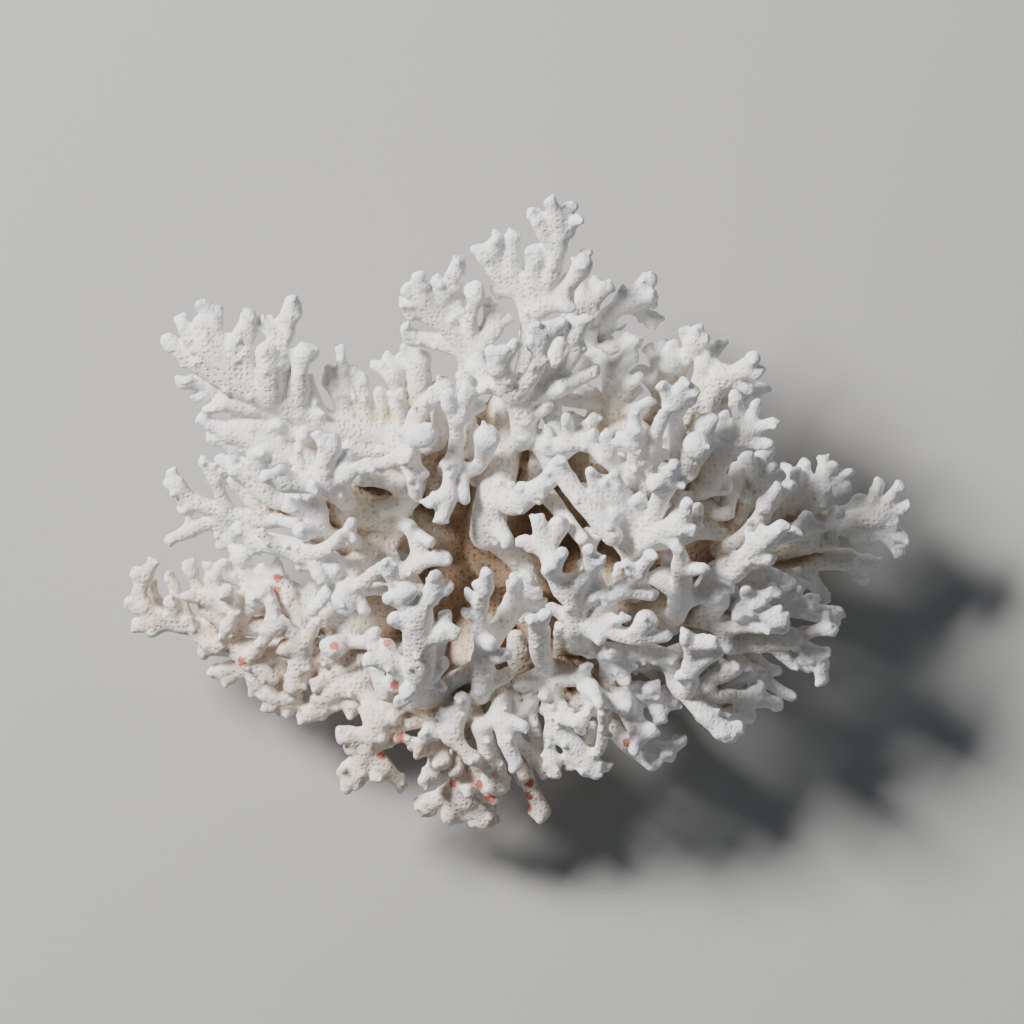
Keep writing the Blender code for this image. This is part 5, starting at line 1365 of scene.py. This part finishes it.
def coral_skin():
    """Bleached stone: cool white tips, cream limbs, painted shade in the hollows and below the canopy that turns them
    cream and then tan (partly the older inner skeleton's own cream), a pinkish old edge, and small cups all over with
    painted shade in them.
    """
    material = bpy.data.materials.new("bleached_coral")
    material.use_nodes = True
    tree = material.node_tree
    shader = tree.nodes["Principled BSDF"]
    start = Shade(tree, None)
    coords = start.node("ShaderNodeTexCoord", output=3)
    values = {
        key: start.node("ShaderNodeAttribute", {"attribute_name": key}, output=2)
        for key in ("crowding", "hollow", "depth", "tip", "stain")
    }
    position = coords.node("ShaderNodeSeparateXYZ", Vector=coords)
    x = Shade(tree, position.socket.node.outputs[0]) * (1 / MM)
    y = Shade(tree, position.socket.node.outputs[1]) * (1 / MM)
    z = Shade(tree, position.socket.node.outputs[2]) * (1 / MM)
    patch = noise(coords, 0.08)
    grain = noise(coords, 2.2, 3.0)
    cup = pits(coords, CUP_SPACING)
    tip = values["tip"]
    # Painted shade: hollows, crowded inner parts and what lies below the canopy go cream and then tan, partly the
    # older inner skeleton's own cream
    hollow = values["hollow"].rise(0.32, 0.72)
    buried = values["depth"] * 0.04 * values["crowding"].rise(0.1, 0.4)
    painted_shade = (buried + hollow * 0.45 + values["crowding"] * 0.3 + patch * 0.3 - 0.3).rise(0.0, 0.9)
    old = (x * -0.6 - y - z * 1.2 + patch * 40.0).rise(20.0, 46.0)
    colour = painted_shade.mix(LIMB_WHITE, HALF_SHADE_CREAM)
    stump = z.fall(*STUMP_PALE_BELOW)
    colour = (painted_shade * painted_shade * painted_shade * (1.0 - 0.75 * stump)).mix(colour, SHADE_TAN)
    colour = (tip * (1.0 - painted_shade) * (1.0 - 0.7 * old)).mix(colour, TIP_WHITE)
    colour = (old * 0.85).mix(colour, PINKISH)
    colour = (old * noise(coords, 0.3).rise(0.5, 0.68) * 0.7).mix(colour, OLD_TAN)
    # Painted shade in the cups: their bottoms darker, more so in the painted shade of the depths and on the old edge,
    # less at the tips
    cup_shade_colour = colour.node("ShaderNodeVectorMath", {"operation": "MULTIPLY"}, i0=colour, i1=CUP_SHADE_TINT)
    colour = (cup * (0.25 + 0.35 * painted_shade + 0.4 * old) * (1.0 - 0.6 * tip)).mix(colour, cup_shade_colour)
    speck = (values["stain"] + grain * 1.6 - 0.8).fall(STAIN_SIZE * 0.7, STAIN_SIZE)
    colour = (speck * 0.9).mix(colour, RED)
    tree.links.new(colour.socket, shader.inputs["Base Color"])
    shader.inputs["Roughness"].default_value = 0.85
    height = cup * -0.26 * (1.0 - 0.6 * tip) + grain * 0.26 + noise(coords, 1.0) * 0.2
    bump = height.node("ShaderNodeBump", Height=height, Strength=1.0, Distance=MM)
    tree.links.new(bump.socket, shader.inputs["Normal"])
    return material


def floor_of(colour):
    """A plain floor under the cut."""
    half = FLOOR_SIZE / 2
    mesh = bpy.data.meshes.new("floor")
    mesh.from_pydata([(-half, -half, 0), (half, -half, 0), (half, half, 0), (-half, half, 0)], [], [(0, 1, 2, 3)])
    floor = bpy.data.objects.new("floor", mesh)
    bpy.context.scene.collection.objects.link(floor)
    paint = bpy.data.materials.new("floor_paint")
    paint.use_nodes = True
    paint.node_tree.nodes["Principled BSDF"].inputs["Base Color"].default_value = colour
    paint.node_tree.nodes["Principled BSDF"].inputs["Roughness"].default_value = 0.9
    mesh.materials.append(paint)


def add_light(name, place_at, size, power, colour):
    """A square area light that points at the colony."""
    light = bpy.data.lights.new(name, "AREA")
    light.size = size
    light.energy = power
    light.color = colour
    lamp = bpy.data.objects.new(name, light)
    lamp.location = place_at
    aim = np.array([0.0, 0.0, FRAME_HEIGHT]) - np.array(place_at)
    lamp.rotation_euler = direction(aim)
    bpy.context.scene.collection.objects.link(lamp)


def direction(aim):
    """The turn that points a lamp's -Z along the aim."""
    return Vector(aim).to_track_quat("-Z", "Y").to_euler()


def light_and_camera():
    """Soft studio light from the upper left, and the camera straight above."""
    for name, place_at, size, power, colour in LIGHTS:
        add_light(name, place_at, size, power, colour)
    world = bpy.data.worlds.new("studio")
    world.use_nodes = True
    world.node_tree.nodes["Background"].inputs["Color"].default_value = (0.9, 0.95, 1.0, 1.0)
    world.node_tree.nodes["Background"].inputs["Strength"].default_value = WORLD_LIGHT
    bpy.context.scene.world = world
    lens = bpy.data.cameras.new("camera")
    lens.sensor_width = 36.0
    lens.lens = 36.0 * CAMERA_DISTANCE / FRAME_WIDTH
    lens.clip_end = 20.0
    camera = bpy.data.objects.new("camera", lens)
    camera.location = (*FRAME_MIDDLE, FRAME_HEIGHT + CAMERA_DISTANCE)
    bpy.context.scene.collection.objects.link(camera)
    bpy.context.scene.camera = camera


def main():
    """Loads the part, grows the skin, and sets the stage."""
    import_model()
    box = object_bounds()
    colony = Colony(grow_colony(), box)
    tips = [place(finger) for _, limbs, fingers in SPRAYS.values() for finger in fingers]
    stains = [place((x, y, canopy(colony, x, y))) for x, y in STAINS]
    skin_material = coral_skin()
    for family in colony.near:
        spots, quads = colony.piece(family)
        # crowding, hollow and depth drive the painted shade in the skin's colour
        values = {
            "crowding": colony.at(colony.around, spots),
            "hollow": colony.at(colony.hollow, spots),
            "depth": colony.at(colony.depth, spots),
            "tip": np.clip(1.3 - nearest(spots, tips) / TIP_FADE, 0, 1),
            "stain": nearest(spots, stains),
        }
        piece = add_mesh(family + "_skin", spots, quads, values)
        piece.data.materials.append(skin_material)
        nodes = [name for name in ("trunk", *BOUGHS, *SPRAYS) if family_of(name) == family]
        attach(piece, "root")
        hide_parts(*nodes)
        print(piece.name, len(quads) * 2, "triangles")
    floor_of(FLOOR_GREY)
    light_and_camera()


main()
